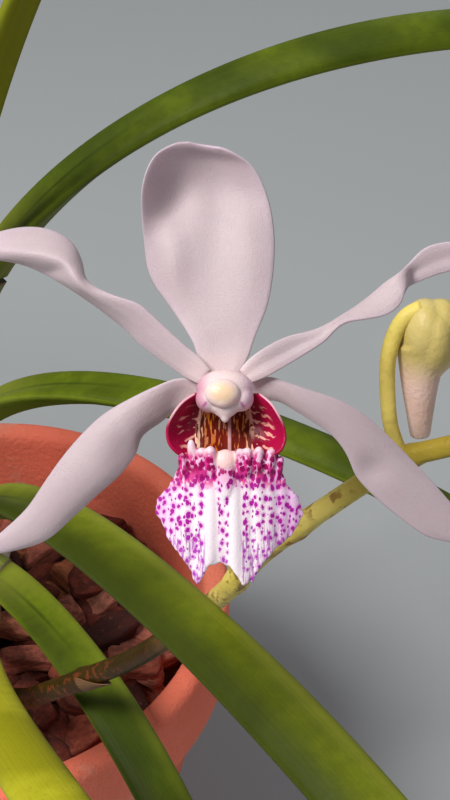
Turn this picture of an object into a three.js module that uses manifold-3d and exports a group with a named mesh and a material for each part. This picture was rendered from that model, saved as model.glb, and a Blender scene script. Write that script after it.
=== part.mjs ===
// A potted Holcostylis orchid: a clay pot of bark, a stem with two ranks of channelled
// leaves, aerial roots, and a flower spike with one open flower and a bud.
// Millimetres, +Z up. The origin is the middle of the pot's flat base, and the open
// flower faces -Y and upwards.
import * as THREE from 'three';
import { mergeVertices } from 'three/addons/utils/BufferGeometryUtils.js';
import Module from 'manifold-3d';

const wasm = await Module();
wasm.setup();

// Driving dimensions
const GAP = 0.3;
const POT = { height: 100, rimRadius: 57, bandHeight: 21, bodyRadius: 52.5, footRadius: 38 };
const POT_WALL = { rim: 6, floor: 6, innerFoot: 33.5, innerBand: 48 };
const DRAIN = { count: 4, radius: 5, circle: 20 };
const BARK = { top: 85, chips: 46, innermost: 13, outermost: 40, collar: 10.5, longest: 17, shortest: 10 };
const STEM = { foot: 72, top: 196, radius: 4, lean: 1.5 };
const LEAF = { thickness: 2.2, channel: 0.62, joint: 11 };
const ROOT_RADIUS = 2.3;
const FLOWER = { centre: [56, -104, 242.7], tip: 50 };
const PETAL = 0.7;

// Leaves: the height of the base on the stem, the compass heading and how far it turns, the
// angle of rise at the base and at the tip, how late the leaf bends, its length and half width
const LEAVES = {
  leaf_front_1: { base: 93, heading: -83, turn: 40, rise: 44, end: -6, bend: 1.5, length: 225, half: 5.0 },
  leaf_back_1: { base: 101, heading: 152, turn: -8, rise: 38, end: -78, bend: 1.0, length: 225, half: 4.7 },
  leaf_front_2: { base: 110, heading: -52, turn: -23, rise: 28, end: -88, bend: 1.0, length: 220, half: 4.7 },
  leaf_back_2: { base: 119, heading: 172, turn: 10, rise: 47, end: -72, bend: 1.0, length: 245, half: 4.6 },
  leaf_front_3: { base: 128, heading: -61, turn: 8, rise: 48, end: -40, bend: 1.18, length: 260, half: 5.1 },
  leaf_back_3: { base: 138, heading: 139, turn: -6, rise: 58, end: -62, bend: 1.0, length: 255, half: 4.6 },
  leaf_front_4: { base: 148, heading: -34, turn: 28, rise: 71, end: -75, bend: 0.6, length: 245, half: 3.9 },
  leaf_back_4: { base: 157, heading: 176, turn: 6, rise: 68, end: -52, bend: 1.0, length: 250, half: 4.4 },
  leaf_front_5: { base: 165, heading: 12, turn: -9, rise: 86, end: -49, bend: 0.61, length: 260, half: 4.3 },
  leaf_back_5: { base: 176, heading: 150, turn: 12, rise: 77, end: -34, bend: 1.1, length: 225, half: 4.2 },
  leaf_front_6: { base: 187, heading: -24, turn: -4, rise: 71, end: -25, bend: 1.9, length: 235, half: 3.9 },
};

// The flower spike's route from the stem to its tip
const SPIKE_ROUTE = [
  [-0.5, -3, 101], [-4.5, -16, 98.5], [4, -30, 102], [15.5, -39, 110.5], [23, -48.5, 124.5],
  [39.8, -57.8, 145], [49, -68.8, 166], [56, -78, 184.5],
  [61, -85.4, 200.3], [68.8, -89.4, 212.7], [76.6, -90.5, 221], [82, -92.3, 225], [89, -94, 229],
];
const SPIKE = { footRadius: 2.5, tipRadius: 1.2, stalkAt: 0.73, budAt: 0.885 };
const BRACTS = [0.3, 0.52, 0.72, 0.88];

const MATERIALS = {
  clay: new THREE.MeshStandardMaterial({ color: 0xc25540, roughness: 0.85 }),
  bark: new THREE.MeshStandardMaterial({ color: 0x5e3024, roughness: 0.95 }),
  leaf: new THREE.MeshStandardMaterial({ color: 0x6a7820, roughness: 0.45 }),
  root: new THREE.MeshStandardMaterial({ color: 0xa9ad92, roughness: 0.8 }),
  spike: new THREE.MeshStandardMaterial({ color: 0x8a8438, roughness: 0.55 }),
  sepal: new THREE.MeshStandardMaterial({ color: 0xd6c8cf, roughness: 0.6 }),
  lip: new THREE.MeshStandardMaterial({ color: 0xc060a0, roughness: 0.55 }),
  cap: new THREE.MeshStandardMaterial({ color: 0xf2dcc0, roughness: 0.5 }),
  bud: new THREE.MeshStandardMaterial({ color: 0xc9c690, roughness: 0.6 }),
};

const part = new THREE.Group();
const radians = THREE.MathUtils.degToRad;
const vec = (x, y, z) => new THREE.Vector3(x, y, z);

function addMesh(name, geometry, material, parent = part) {
  const mesh = new THREE.Mesh(geometry, material);
  mesh.name = name;
  parent.add(mesh);
  return mesh;
}

// Boolean joins and cuts
function toSolid(geometry) {
  const bare = geometry.clone();
  for (const name of Object.keys(bare.attributes)) {
    if (name !== 'position') bare.deleteAttribute(name);
  }
  const merged = mergeVertices(bare, 1e-4);
  return new wasm.Manifold(new wasm.Mesh({
    numProp: 3,
    vertProperties: new Float32Array(merged.attributes.position.array),
    triVerts: new Uint32Array(merged.index.array),
  }));
}

// The largest body of a cut solid: a loose scrap is dropped
function toGeometry(solid) {
  const [largest] = solid.decompose().sort((one, other) => other.volume() - one.volume());
  const mesh = largest.getMesh();
  const geometry = new THREE.BufferGeometry();
  geometry.setAttribute('position', new THREE.BufferAttribute(mesh.vertProperties, 3));
  geometry.setIndex(new THREE.BufferAttribute(mesh.triVerts, 1));
  geometry.computeVertexNormals();
  return geometry;
}

const join = (geometries) => toGeometry(geometries.map(toSolid).reduce((all, one) => all.add(one)));

const cut = (geometry, cutters) =>
  toGeometry(cutters.map(toSolid).reduce((rest, cutter) => rest.subtract(cutter), toSolid(geometry)));

// Seeded random numbers from 0 to 1
function randomFrom(seed) {
  let state = seed;
  return () => {
    state = (state * 1664525 + 1013904223) % 4294967296;
    return state / 4294967296;
  };
}

// A closed body from rings of points, one ring after the other along its length
function loft(rings) {
  const sides = rings[0].length;
  const points = rings.flat();
  const triangles = [];
  for (let ring = 0; ring < rings.length - 1; ring += 1) {
    for (let side = 0; side < sides; side += 1) {
      const a = ring * sides + side;
      const b = ring * sides + ((side + 1) % sides);
      triangles.push(a, b, b + sides, a, b + sides, a + sides);
    }
  }
  for (const [ring, turned] of [[0, true], [rings.length - 1, false]]) {
    const middle = points.length;
    const centre = rings[ring].reduce((sum, point) => sum.add(point), vec(0, 0, 0)).divideScalar(sides);
    points.push(centre);
    for (let side = 0; side < sides; side += 1) {
      const a = ring * sides + side;
      const b = ring * sides + ((side + 1) % sides);
      triangles.push(...(turned ? [middle, b, a] : [middle, a, b]));
    }
  }
  const geometry = new THREE.BufferGeometry().setFromPoints(points);
  geometry.setIndex(triangles);
  geometry.computeVertexNormals();
  return geometry;
}

// A round tube along a curve. radiusAt gives the radius from the start, 0, to the end, 1
function tube(curve, steps, sides, radiusAt) {
  const frames = curve.computeFrenetFrames(steps, false);
  const rings = [];
  for (let step = 0; step <= steps; step += 1) {
    const along = step / steps;
    const centre = curve.getPointAt(along);
    const ring = [];
    for (let side = 0; side < sides; side += 1) {
      const angle = (side / sides) * 2 * Math.PI;
      const point = centre.clone();
      point.addScaledVector(frames.normals[step], Math.cos(angle) * radiusAt(along));
      point.addScaledVector(frames.binormals[step], Math.sin(angle) * radiusAt(along));
      ring.push(point);
    }
    rings.push(ring);
  }
  return loft(rings);
}

// A thin sheet with a front and a back, from surface(along 0..1, across -1..1). Both faces are
// split into triangles alike
function sheet(surface, rows, columns, thickness) {
  const points = [];
  const triangles = [];
  const step = 1e-3;
  for (const face of [1, -1]) {
    for (let row = 0; row <= rows; row += 1) {
      for (let column = 0; column <= columns; column += 1) {
        const along = row / rows;
        const across = (2 * column) / columns - 1;
        const point = surface(along, across);
        const lengthwise = surface(along + step, across).sub(surface(along - step, across));
        const crosswise = surface(along, across + step).sub(surface(along, across - step));
        const normal = crosswise.cross(lengthwise).normalize();
        points.push(point.addScaledVector(normal, (face * thickness) / 2));
      }
    }
  }
  const back = (rows + 1) * (columns + 1);
  const at = (row, column) => row * (columns + 1) + column;
  for (let row = 0; row < rows; row += 1) {
    for (let column = 0; column < columns; column += 1) {
      const [a, b] = [at(row, column), at(row, column + 1)];
      const [c, d] = [at(row + 1, column + 1), at(row + 1, column)];
      triangles.push(a, b, c, a, c, d);
      triangles.push(a + back, c + back, b + back, a + back, d + back, c + back);
    }
  }
  const edge = [];
  for (let column = 0; column < columns; column += 1) edge.push(at(0, column));
  for (let row = 0; row < rows; row += 1) edge.push(at(row, columns));
  for (let column = columns; column > 0; column -= 1) edge.push(at(rows, column));
  for (let row = rows; row > 0; row -= 1) edge.push(at(row, 0));
  edge.forEach((a, i) => {
    const b = edge[(i + 1) % edge.length];
    triangles.push(a, a + back, b + back, a, b + back, b);
  });
  const geometry = new THREE.BufferGeometry().setFromPoints(points);
  geometry.setIndex(triangles);
  geometry.computeVertexNormals();
  return geometry;
}

// Clay pot: one turned wall with a thick rim band, and drainage holes round the middle of the floor
function makePot() {
  const bandFoot = POT.height - POT.bandHeight;
  const profile = [
    [0, 0], [POT.footRadius, 0], [POT.bodyRadius, bandFoot - 1], [POT.rimRadius - 1.5, bandFoot],
    [POT.rimRadius - 0.3, bandFoot + 1.5], [POT.rimRadius, POT.height - 2],
    [POT.rimRadius - 1.6, POT.height], [POT.rimRadius - POT_WALL.rim + 1, POT.height - 0.3],
    [POT.rimRadius - POT_WALL.rim, POT.height - 2],
    [POT_WALL.innerBand, bandFoot], [POT_WALL.innerFoot, POT_WALL.floor], [0, POT_WALL.floor],
  ];
  const wall = new THREE.LatheGeometry(profile.map(([r, z]) => new THREE.Vector2(r, z)), 48);
  wall.rotateX(Math.PI / 2);
  const drains = [];
  for (let hole = 0; hole < DRAIN.count; hole += 1) {
    const drain = new THREE.CylinderGeometry(DRAIN.radius, DRAIN.radius, 3 * POT_WALL.floor, 16);
    const angle = ((hole + 0.5) / DRAIN.count) * 2 * Math.PI;
    drain.rotateX(Math.PI / 2);
    drain.translate(DRAIN.circle * Math.cos(angle), DRAIN.circle * Math.sin(angle), POT_WALL.floor / 2);
    drains.push(drain);
  }
  return cut(wall, drains);
}

// Leaf route: points one millimetre apart, starting at the stem's side
function leafRoute({ base, heading, turn, rise, end, bend, length }) {
  const direction = (along) => {
    const lift = radians(rise + (end - rise) * along ** bend);
    const compass = radians(heading + turn * along);
    return vec(Math.cos(lift) * Math.cos(compass), Math.cos(lift) * Math.sin(compass), Math.sin(lift));
  };
  const point = vec(Math.cos(radians(heading)), Math.sin(radians(heading)), 0).multiplyScalar(STEM.radius);
  point.z = base;
  const route = [point.clone()];
  for (let step = 0; step < length; step += 1) {
    point.add(direction((step + 0.5) / length));
    route.push(point.clone());
  }
  return route;
}

// One ring of a leaf: a V-shaped channel with a thick keel and thin margins. raise lifts its upper face
function leafRing(route, index, half, thickness, raise = 0) {
  const before = route[Math.max(index - 2, 0)];
  const after = route[Math.min(index + 2, route.length - 1)];
  const ahead = after.clone().sub(before).normalize();
  const side = vec(ahead.y, -ahead.x, 0).normalize();
  const up = side.clone().cross(ahead);
  const depth = LEAF.channel * half;
  const section = [
    [-1, depth + raise], [-0.55, 0.42 * depth + raise], [0, raise], [0.55, 0.42 * depth + raise],
    [1, depth + raise],
    [0.62, 0.42 * depth - thickness], [0, -1.15 * thickness], [-0.62, 0.42 * depth - thickness],
  ];
  return section.map(([across, lift]) =>
    route[index].clone().addScaledVector(side, across * half).addScaledVector(up, lift));
}

// The blade's half width from base, 0, to its pointed tip, 1
const leafTaper = (along) => Math.max(0.08, (1 - along ** 3) ** 0.7);

// A leaf blade starts at its joint with the leaf base; the base itself clasps the stem
const jointOf = (route) => route.findIndex((point) => Math.hypot(point.x, point.y) > LEAF.joint);

function makeLeaf(leaf) {
  const route = leafRoute(leaf);
  const joint = jointOf(route);
  const rings = [];
  const steps = 20;
  for (let step = 0; step <= steps; step += 1) {
    const index = Math.round(joint + 1 + (step / steps) * (route.length - 2 - joint));
    const taper = leafTaper(index / route.length);
    rings.push(leafRing(route, index, leaf.half * taper, LEAF.thickness * (0.35 + 0.65 * taper)));
  }
  return loft(rings);
}

// A leaf base, grown by extra when it is used to cut its neighbours clear
function makeLeafBase(leaf, extra) {
  const route = leafRoute(leaf);
  const joint = jointOf(route);
  const rings = [];
  for (let step = 0; step <= 3; step += 1) {
    const index = Math.round((step / 3) * joint);
    rings.push(leafRing(route, index, leaf.half + extra, LEAF.thickness + 0.4 + extra, extra));
  }
  const foot = vec(0, 0, Math.max(leaf.base - 14, BARK.top + 4));
  const inward = rings[0].map((point) => point.clone().sub(route[0]).multiplyScalar(0.75).add(foot));
  return loft([inward, ...rings]);
}

function makeStemAxis(extra) {
  const axis = new THREE.CatmullRomCurve3([
    vec(0, 0, STEM.foot - extra), vec(STEM.lean, 0, STEM.foot + 40), vec(-STEM.lean, 0, STEM.foot + 85),
    vec(0, 0, STEM.top),
  ]);
  return tube(axis, 12, 10, (along) => STEM.radius * (1 - 0.35 * along ** 3) + extra);
}

function makeStem(extra) {
  return join([makeStemAxis(extra), ...Object.values(LEAVES).map((leaf) => makeLeafBase(leaf, extra))]);
}

// Aerial roots leave the stem, arch outwards and run down into the bark
const ROOTS = {
  root_1: { from: 99, heading: 60, reach: 24 },
  root_2: { from: 106, heading: 188, reach: 27 },
  root_3: { from: 96, heading: -144, reach: 22 },
  root_4: { from: 94, heading: 120, reach: 28 },
};

function rootCurve({ from, heading, reach }) {
  const out = (distance, height) => {
    const compass = radians(heading + distance);
    return vec(distance * Math.cos(compass), distance * Math.sin(compass), height);
  };
  return new THREE.CatmullRomCurve3([
    out(STEM.radius - 1, from), out(0.55 * reach, from - 2), out(0.85 * reach, BARK.top + 8),
    out(reach, BARK.top), out(1.05 * reach, BARK.top - 12),
  ]);
}

const makeRoot = (curve, extra) => tube(curve, 14, 8, (along) => ROOT_RADIUS * (1 - 0.12 * along) + extra);

// Bark: chips scattered over a filled bed, with holes for the stem and the roots
function makeBark(holes) {
  const random = randomFrom(7);
  const innerSlope = (POT_WALL.innerBand - POT_WALL.innerFoot) / (POT.height - POT.bandHeight - POT_WALL.floor);
  const bedFoot = POT_WALL.floor + GAP;
  const bedRadius = (z) => POT_WALL.innerFoot + (z - POT_WALL.floor) * innerSlope - GAP;
  const bandFoot = POT.height - POT.bandHeight;
  const bed = new THREE.LatheGeometry([
    new THREE.Vector2(0, bedFoot), new THREE.Vector2(bedRadius(bedFoot), bedFoot),
    new THREE.Vector2(bedRadius(bandFoot), bandFoot), new THREE.Vector2(bedRadius(bandFoot), BARK.top - 2),
    new THREE.Vector2(bedRadius(bandFoot) - 3, BARK.top), new THREE.Vector2(0, BARK.top),
  ], 40);
  bed.rotateX(Math.PI / 2);
  const chips = [];
  for (let chip = 0; chip < BARK.chips; chip += 1) {
    const length = BARK.shortest + (BARK.longest - BARK.shortest) * random();
    const block = new THREE.BoxGeometry(length, 0.45 * length + 2.5 * random(), 3.2 + 2 * random());
    const corners = mergeVertices(block.deleteAttribute('normal').deleteAttribute('uv'));
    const position = corners.attributes.position;
    for (let corner = 0; corner < position.count; corner += 1) {
      position.setXYZ(corner,
        position.getX(corner) * (0.75 + 0.3 * random()),
        position.getY(corner) * (0.7 + 0.4 * random()),
        position.getZ(corner) * (0.8 + 0.4 * random()));
    }
    corners.rotateX(radians(50 * (random() - 0.5)));
    corners.rotateY(radians(44 * (random() - 0.5)));
    corners.rotateZ(2 * Math.PI * random());
    const reach = BARK.innermost + (BARK.outermost - BARK.innermost) * Math.sqrt((chip + 0.5) / BARK.chips);
    const around = chip * radians(137.5);
    corners.translate(reach * Math.cos(around), reach * Math.sin(around), BARK.top + 1.5 * random());
    chips.push(corners);
  }
  return cut(join([bed, ...chips]), holes);
}

// The spike with a sheath-like bract at each node, and the last small buds fused at its tip
function makeSpike(curve, extra) {
  const stalk = tube(curve, 26, 8, (along) =>
    SPIKE.footRadius + (SPIKE.tipRadius - SPIKE.footRadius) * along ** 0.8 + extra);
  const bracts = BRACTS.map((along) => {
    const span = new THREE.CatmullRomCurve3([
      curve.getPointAt(along - 0.012), curve.getPointAt(along), curve.getPointAt(along + 0.02),
    ]);
    const radius = SPIKE.footRadius - 1.1 * along + extra;
    return tube(span, 3, 8, (step) => radius + [0.25, 0.7, 0.75, 0.3][Math.round(step * 3)]);
  });
  const end = curve.getPointAt(1);
  const tipBuds = [[0, 0, 0, 2], [-2.2, 1, 2.8, 1.7], [1.5, -0.5, 2.6, 1.4]].map(([x, y, z, radius]) => {
    const bud = new THREE.SphereGeometry(radius + extra, 7, 5);
    bud.scale(1, 1, 1.25);
    bud.translate(end.x + x, end.y + y, end.z + z);
    return bud;
  });
  return join([stalk, ...bracts, ...tipBuds]);
}

// A petal or sepal: a blade along a route in the flower's own frame, where x is to the right,
// y up and z towards the viewer. twist turns it about its route, cup brings its margins forward
// and round rounds its tip
function makeBlade({ route, half, twist = () => 0, cup = 0, round = 0, rows = 14, columns }) {
  const spine = new THREE.CatmullRomCurve3(route.map((point) => vec(...point)));
  const width = new THREE.SplineCurve(half.map((value, i) => new THREE.Vector2(i / (half.length - 1), value)));
  const surface = (along, across) => {
    const inside = THREE.MathUtils.clamp(along, 0, 1);
    const ahead = spine.getTangentAt(inside);
    const side = ahead.clone().cross(vec(0, 0, 1)).normalize();
    const face = side.clone().cross(ahead).applyAxisAngle(ahead, twist(inside));
    side.applyAxisAngle(ahead, twist(inside));
    const reach = across * width.getPoint(inside).y;
    const lift = cup * across * across;
    const shortened = along - inside - round * across * across * inside ** 4;
    const point = spine.getPointAt(inside).addScaledVector(ahead, shortened);
    return point.addScaledVector(side, reach).addScaledVector(face, lift);
  };
  return sheet(surface, rows, columns, PETAL);
}

const mirrored = (points) => points.map(([x, y, z]) => [-x, y, z]);

const BLADES = {
  sepal_dorsal: {
    route: [[0, 1.9, -2.3], [-0.3, 6, -2.6], [-0.9, 12, -3.2], [-1.6, 19, -3.4], [-2.4, 26.1, -2.4]],
    half: [1.1, 2.5, 4.5, 6.1, 6.9, 6.8, 5.1],
    cup: 0.9,
    round: 2.1,
    columns: 6,
  },
  petal_left: {
    route: [[-1.5, 1.2, -0.9], [-5.8, 4.3, -1.2], [-8.5, 6.6, -1.6], [-11.4, 8.8, -2.2], [-14, 10.6, -2.8],
      [-17, 13.4, -3], [-20.2, 14.5, -3.4], [-26, 14.3, -5]],
    half: [1.1, 1.6, 1.7, 1.8, 2.3, 2.7, 2.0, 0.5],
    twist: (along) => 2.9 * THREE.MathUtils.smoothstep(along, 0.3, 0.72),
    cup: 0.35,
    rows: 18,
    columns: 4,
  },
  petal_right: {
    route: [[1.5, 1.2, -0.9], [4.6, 2.9, -1.1], [7.6, 4.6, -1.4], [10.2, 6, -1.8], [12.2, 7.2, -2.2],
      [15.6, 9.2, -2.8], [18.2, 11.4, -3.2], [20.6, 13.2, -3.4], [26, 14.6, -4.6]],
    half: [1.1, 1.4, 1.4, 1.4, 1.6, 1.9, 1.9, 1.7, 0.5],
    twist: (along) => -2.9 * THREE.MathUtils.smoothstep(along, 0.24, 0.55),
    cup: 0.35,
    rows: 18,
    columns: 4,
  },
  sepal_left: {
    route: [[-1.9, -0.2, -2.3], [-4.6, -0.4, -2.3], [-7.5, -1.4, -2.6], [-10, -3.7, -2.8], [-12.4, -6.3, -3],
      [-16.5, -10.6, -3.4], [-21.1, -14.5, -4.4], [-25, -16.6, -6]],
    half: [1.1, 1.9, 2.2, 2.8, 3.3, 2.7, 1.6, 0.5],
    cup: 0.7,
    columns: 4,
  },
  sepal_right: {
    route: [[1.9, -0.1, -2.3], [4.2, 0.1, -2.3], [7.5, -0.7, -2.6], [10.8, -2.2, -2.8], [14, -5.1, -3],
      [17, -8.1, -3.2], [20.6, -11.6, -4], [25.4, -15.6, -6]],
    half: [1.1, 1.4, 1.7, 2.4, 3.0, 2.9, 2.4, 0.5],
    cup: 0.7,
    columns: 4,
  },
};

// Lip: midlobe, throat, two side lobes, the row of calli and the hollow spur, grown as one piece
const MIDLOBE = { top: -6, length: 11.3, half: [4.7, 5.1, 6.4, 7.3, 7.0, 6.1, 5.1, 3.9], middle: 0.4, pleats: 4.5 };
const TEETH = [[-0.7, 1.9], [0.42, 2.1], [0.78, 0.9]];

function makeLip() {
  const width = new THREE.SplineCurve(MIDLOBE.half.map((half, i) =>
    new THREE.Vector2(i / (MIDLOBE.half.length - 1), half)));
  const midlobe = sheet((along, across) => {
    const inside = THREE.MathUtils.clamp(along, 0, 1);
    const teeth = TEETH.reduce((sum, [at, size]) => sum + size * Math.exp(-(((across - at) / 0.16) ** 2)), 0);
    const x = MIDLOBE.middle + across * width.getPoint(inside).y;
    const y = MIDLOBE.top - along * (MIDLOBE.length + teeth - 1.2 * across * across);
    const pleat = 0.45 * inside * Math.cos(MIDLOBE.pleats * Math.PI * across);
    return vec(x, y, 2.6 - 1.4 * inside * inside - 1.6 * across * across + pleat);
  }, 10, 18, PETAL);
  const sideLobe = (side) => sheet((along, across) => {
    const around = radians(100 + 165 * along);
    const outward = (across + 1) / 2;
    const x = -2.6 + outward * 3.1 * Math.cos(around) * (1 - 0.1 * along);
    const y = -3.6 + (1.9 + 1.1 * outward) * Math.sin(around);
    return vec(side * x, y, 0.8 + 2.2 * outward * outward);
  }, 8, 3, PETAL);
  const throat = sheet((along, across) => vec(3 * across, -1.9 - 4.4 * along,
    0.9 + 1.4 * along ** 3 - 1.7 * (1 - across * across) * (1 - along)), 6, 6, 0.9);
  const foot = new THREE.CylinderGeometry(1.25, 1.25, 2.6, 10);
  foot.rotateX(Math.PI / 2);
  foot.translate(0, -2.9, -0.4);
  const spurAxis = new THREE.CatmullRomCurve3([vec(0, -3.2, 0), vec(0, -5.6, -3), vec(0, -9.5, -5.6),
    vec(0, -13.5, -6.6)]);
  const spur = tube(spurAxis, 6, 8, (along) => 1.7 - 0.9 * along);
  const calli = [[-2.9, 0.7, 1.3], [-1.2, 0.75, 1], [1.9, 0.75, 1.1], [3.3, 0.65, 1.1], [4.5, 0.6, 1.4]].map(
    ([x, radius, droop]) => {
      const finger = new THREE.SphereGeometry(radius, 7, 5);
      finger.scale(1, 2, 1);
      finger.translate(x, MIDLOBE.top + droop - 0.6, 2.7 - 0.08 * x * x);
      return finger;
    });
  const keel = new THREE.SphereGeometry(1.25, 8, 6);
  keel.scale(1, 1.7, 0.8);
  keel.translate(0, MIDLOBE.top - 0.9, 3);
  return join([midlobe, sideLobe(1), sideLobe(-1), throat, foot, spur, ...calli, keel]);
}

// Column: the short pink hood over the throat, on the neck that the sepals grow from
function makeColumn() {
  const hood = new THREE.SphereGeometry(1, 16, 12);
  hood.scale(2.9, 2.15, 2.9);
  hood.translate(0, 0.1, 2.4);
  const neck = new THREE.CylinderGeometry(1.5, 1.5, 5, 12);
  neck.rotateX(Math.PI / 2);
  neck.translate(0, 0.2, -1.1);
  const socket = new THREE.SphereGeometry(CAP.radius + GAP, 14, 10);
  socket.scale(1, 1, 0.9);
  socket.translate(...CAP.centre);
  return cut(join([hood, neck]), [socket]);
}

const CAP = { radius: 1.75, centre: [-0.1, -0.1, 4.6] };

function makeCap() {
  const dome = new THREE.SphereGeometry(CAP.radius, 14, 10);
  dome.scale(1, 1, 0.9);
  const beak = new THREE.ConeGeometry(0.7, 2.4, 8);
  beak.rotateX(Math.PI);
  beak.translate(0, -CAP.radius - 0.4, 0.7);
  const cap = join([dome, beak]);
  cap.translate(...CAP.centre);
  return cap;
}

// The stalk behind the flower: a thin pedicel that thickens into the ribbed ovary
function makeFlowerStalk(from, to, inward) {
  const curve = new THREE.CatmullRomCurve3([from, from.clone().lerp(to, 0.3).add(vec(-1, 2, 5)),
    to.clone().addScaledVector(inward, 9), to]);
  return tube(curve, 14, 10, (along) => 0.95 + 0.5 * THREE.MathUtils.smoothstep(along, 0.5, 0.9));
}

function placeFlower(spikeCurve, spikeClearance) {
  const flower = new THREE.Group();
  flower.position.set(...FLOWER.centre);
  flower.rotation.x = radians(FLOWER.tip);
  part.add(flower);
  for (const [name, blade] of Object.entries(BLADES)) {
    addMesh(name, makeBlade(blade), MATERIALS.sepal, flower);
  }
  addMesh('lip', makeLip(), MATERIALS.lip, flower);
  addMesh('column', makeColumn(), MATERIALS.sepal, flower);
  addMesh('anther_cap', makeCap(), MATERIALS.cap, flower);
  flower.updateMatrixWorld(true);
  const neckEnd = flower.localToWorld(vec(0, 0.2, -3.6 - GAP));
  const inward = vec(0, 0, -1).transformDirection(flower.matrixWorld);
  const stalk = makeFlowerStalk(spikeCurve.getPointAt(SPIKE.stalkAt), neckEnd, inward);
  addMesh('flower_stalk', cut(stalk, [spikeClearance]), MATERIALS.spike);
}

// The bud: a short stalk that curls over, the closed bud and its spur hanging down
function placeBud(spikeCurve, spikeClearance) {
  const from = spikeCurve.getPointAt(SPIKE.budAt);
  const stalk = new THREE.CatmullRomCurve3([from, vec(75.6, -88, 226.5), vec(74.3, -85.3, 232.5),
    vec(75, -82.8, 236.5), vec(76.9, -82.2, 237.8)]);
  addMesh('bud_stalk', cut(tube(stalk, 12, 8, () => 0.9), [spikeClearance]), MATERIALS.spike);
  const centre = vec(79.6, -83, 234.6);
  const body = new THREE.SphereGeometry(1, 14, 12);
  body.scale(3.1, 3.6, 4.4);
  body.translate(centre.x, centre.y, centre.z);
  const spurAxis = new THREE.CatmullRomCurve3([centre.clone(), vec(79.8, -85.4, 229), vec(79.3, -87.2, 222.5)]);
  const spur = tube(spurAxis, 6, 8, (along) => 2.5 - 1.6 * along);
  addMesh('bud', cut(join([body, spur]), [tube(stalk, 12, 8, () => 0.9 + GAP)]), MATERIALS.bud);
}

// Assembly
for (const [name, leaf] of Object.entries(LEAVES)) addMesh(name, makeLeaf(leaf), MATERIALS.leaf);
addMesh('stem', makeStem(0), MATERIALS.leaf);
const stemClearance = makeStem(2 * GAP);
for (const [name, root] of Object.entries(ROOTS)) {
  addMesh(name, cut(makeRoot(rootCurve(root), 0), [stemClearance]), MATERIALS.root);
}
const collar = new THREE.CylinderGeometry(BARK.collar, BARK.collar, 20, 20);
collar.rotateX(Math.PI / 2);
collar.translate(0, 0, BARK.top + 10);
const rootHoles = Object.values(ROOTS).map((root) => makeRoot(rootCurve(root), GAP));
addMesh('bark', makeBark([makeStemAxis(GAP), collar, ...rootHoles]), MATERIALS.bark);
addMesh('pot', makePot(), MATERIALS.clay);
const spikeCurve = new THREE.CatmullRomCurve3(SPIKE_ROUTE.map((point) => vec(...point)));
addMesh('spike', cut(makeSpike(spikeCurve, 0), [stemClearance]), MATERIALS.spike);
const spikeClearance = makeSpike(spikeCurve, GAP);
placeFlower(spikeCurve, spikeClearance);
placeBud(spikeCurve, spikeClearance);

export default part;
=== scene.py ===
"""A potted Holcostylis orchid: clay pot, bark, stem, roots, leaves, and the spike with its flower and bud."""
import math
import random

import bpy
from mathutils import Matrix, Vector, noise


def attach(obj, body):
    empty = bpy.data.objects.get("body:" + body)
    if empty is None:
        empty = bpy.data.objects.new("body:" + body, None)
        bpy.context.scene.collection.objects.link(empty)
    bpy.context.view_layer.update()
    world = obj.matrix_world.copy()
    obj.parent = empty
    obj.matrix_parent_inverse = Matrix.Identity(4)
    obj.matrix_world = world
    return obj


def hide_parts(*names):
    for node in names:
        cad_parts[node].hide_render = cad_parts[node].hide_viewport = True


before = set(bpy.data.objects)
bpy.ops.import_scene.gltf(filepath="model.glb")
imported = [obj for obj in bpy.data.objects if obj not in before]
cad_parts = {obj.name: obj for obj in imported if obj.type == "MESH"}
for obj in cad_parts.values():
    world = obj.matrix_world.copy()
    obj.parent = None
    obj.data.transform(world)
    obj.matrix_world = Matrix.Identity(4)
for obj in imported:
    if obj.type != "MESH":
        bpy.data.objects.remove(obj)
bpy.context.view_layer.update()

# The view: the camera looks straight at the open flower and down at the pot, from close by.
# A pale floor, a soft key light high on the left and weaker lights from the right and behind.
MM = 0.001
VIEW_HEIGHT = 0.3318
VIEW_DOWN = math.radians(40)
VIEW_ANGLE = math.radians(32)


def srgb(red, green, blue):
    """A colour given as it looks on a screen, 0 to 255, as the linear values that Blender uses."""
    parts = [value / 255 for value in (red, green, blue)]
    return [p / 12.92 if p <= 0.04045 else ((p + 0.055) / 1.055) ** 2.4 for p in parts] + [1.0]


def add_light(name, place, aim, power, size, tint):
    bpy.ops.object.light_add(type="AREA", location=place)
    light = bpy.context.object
    light.name = name
    light.rotation_euler = (Vector(aim) - Vector(place)).to_track_quat("-Z", "Y").to_euler()
    light.data.energy = power
    light.data.size = size
    light.data.color = tint


bpy.ops.object.camera_add(location=(0.056, -0.2114, VIEW_HEIGHT),
                          rotation=(math.radians(90) - VIEW_DOWN, 0, 0))
camera = bpy.context.object
camera.data.lens = camera.data.sensor_width / 2 / math.tan(VIEW_ANGLE / 2)
camera.data.clip_start = 0.01
bpy.context.scene.camera = camera
bpy.context.scene.view_settings.view_transform = "Standard"

bpy.ops.mesh.primitive_plane_add(size=8, location=(0, 0, 0))
floor = bpy.context.object
floor.name = "floor"
floor_paint = bpy.data.materials.new("pale_floor")
floor_paint.use_nodes = True
floor_paint.node_tree.nodes["Principled BSDF"].inputs["Base Color"].default_value = srgb(176, 180, 182)
floor_paint.node_tree.nodes["Principled BSDF"].inputs["Roughness"].default_value = 0.8
floor.data.materials.append(floor_paint)

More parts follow.
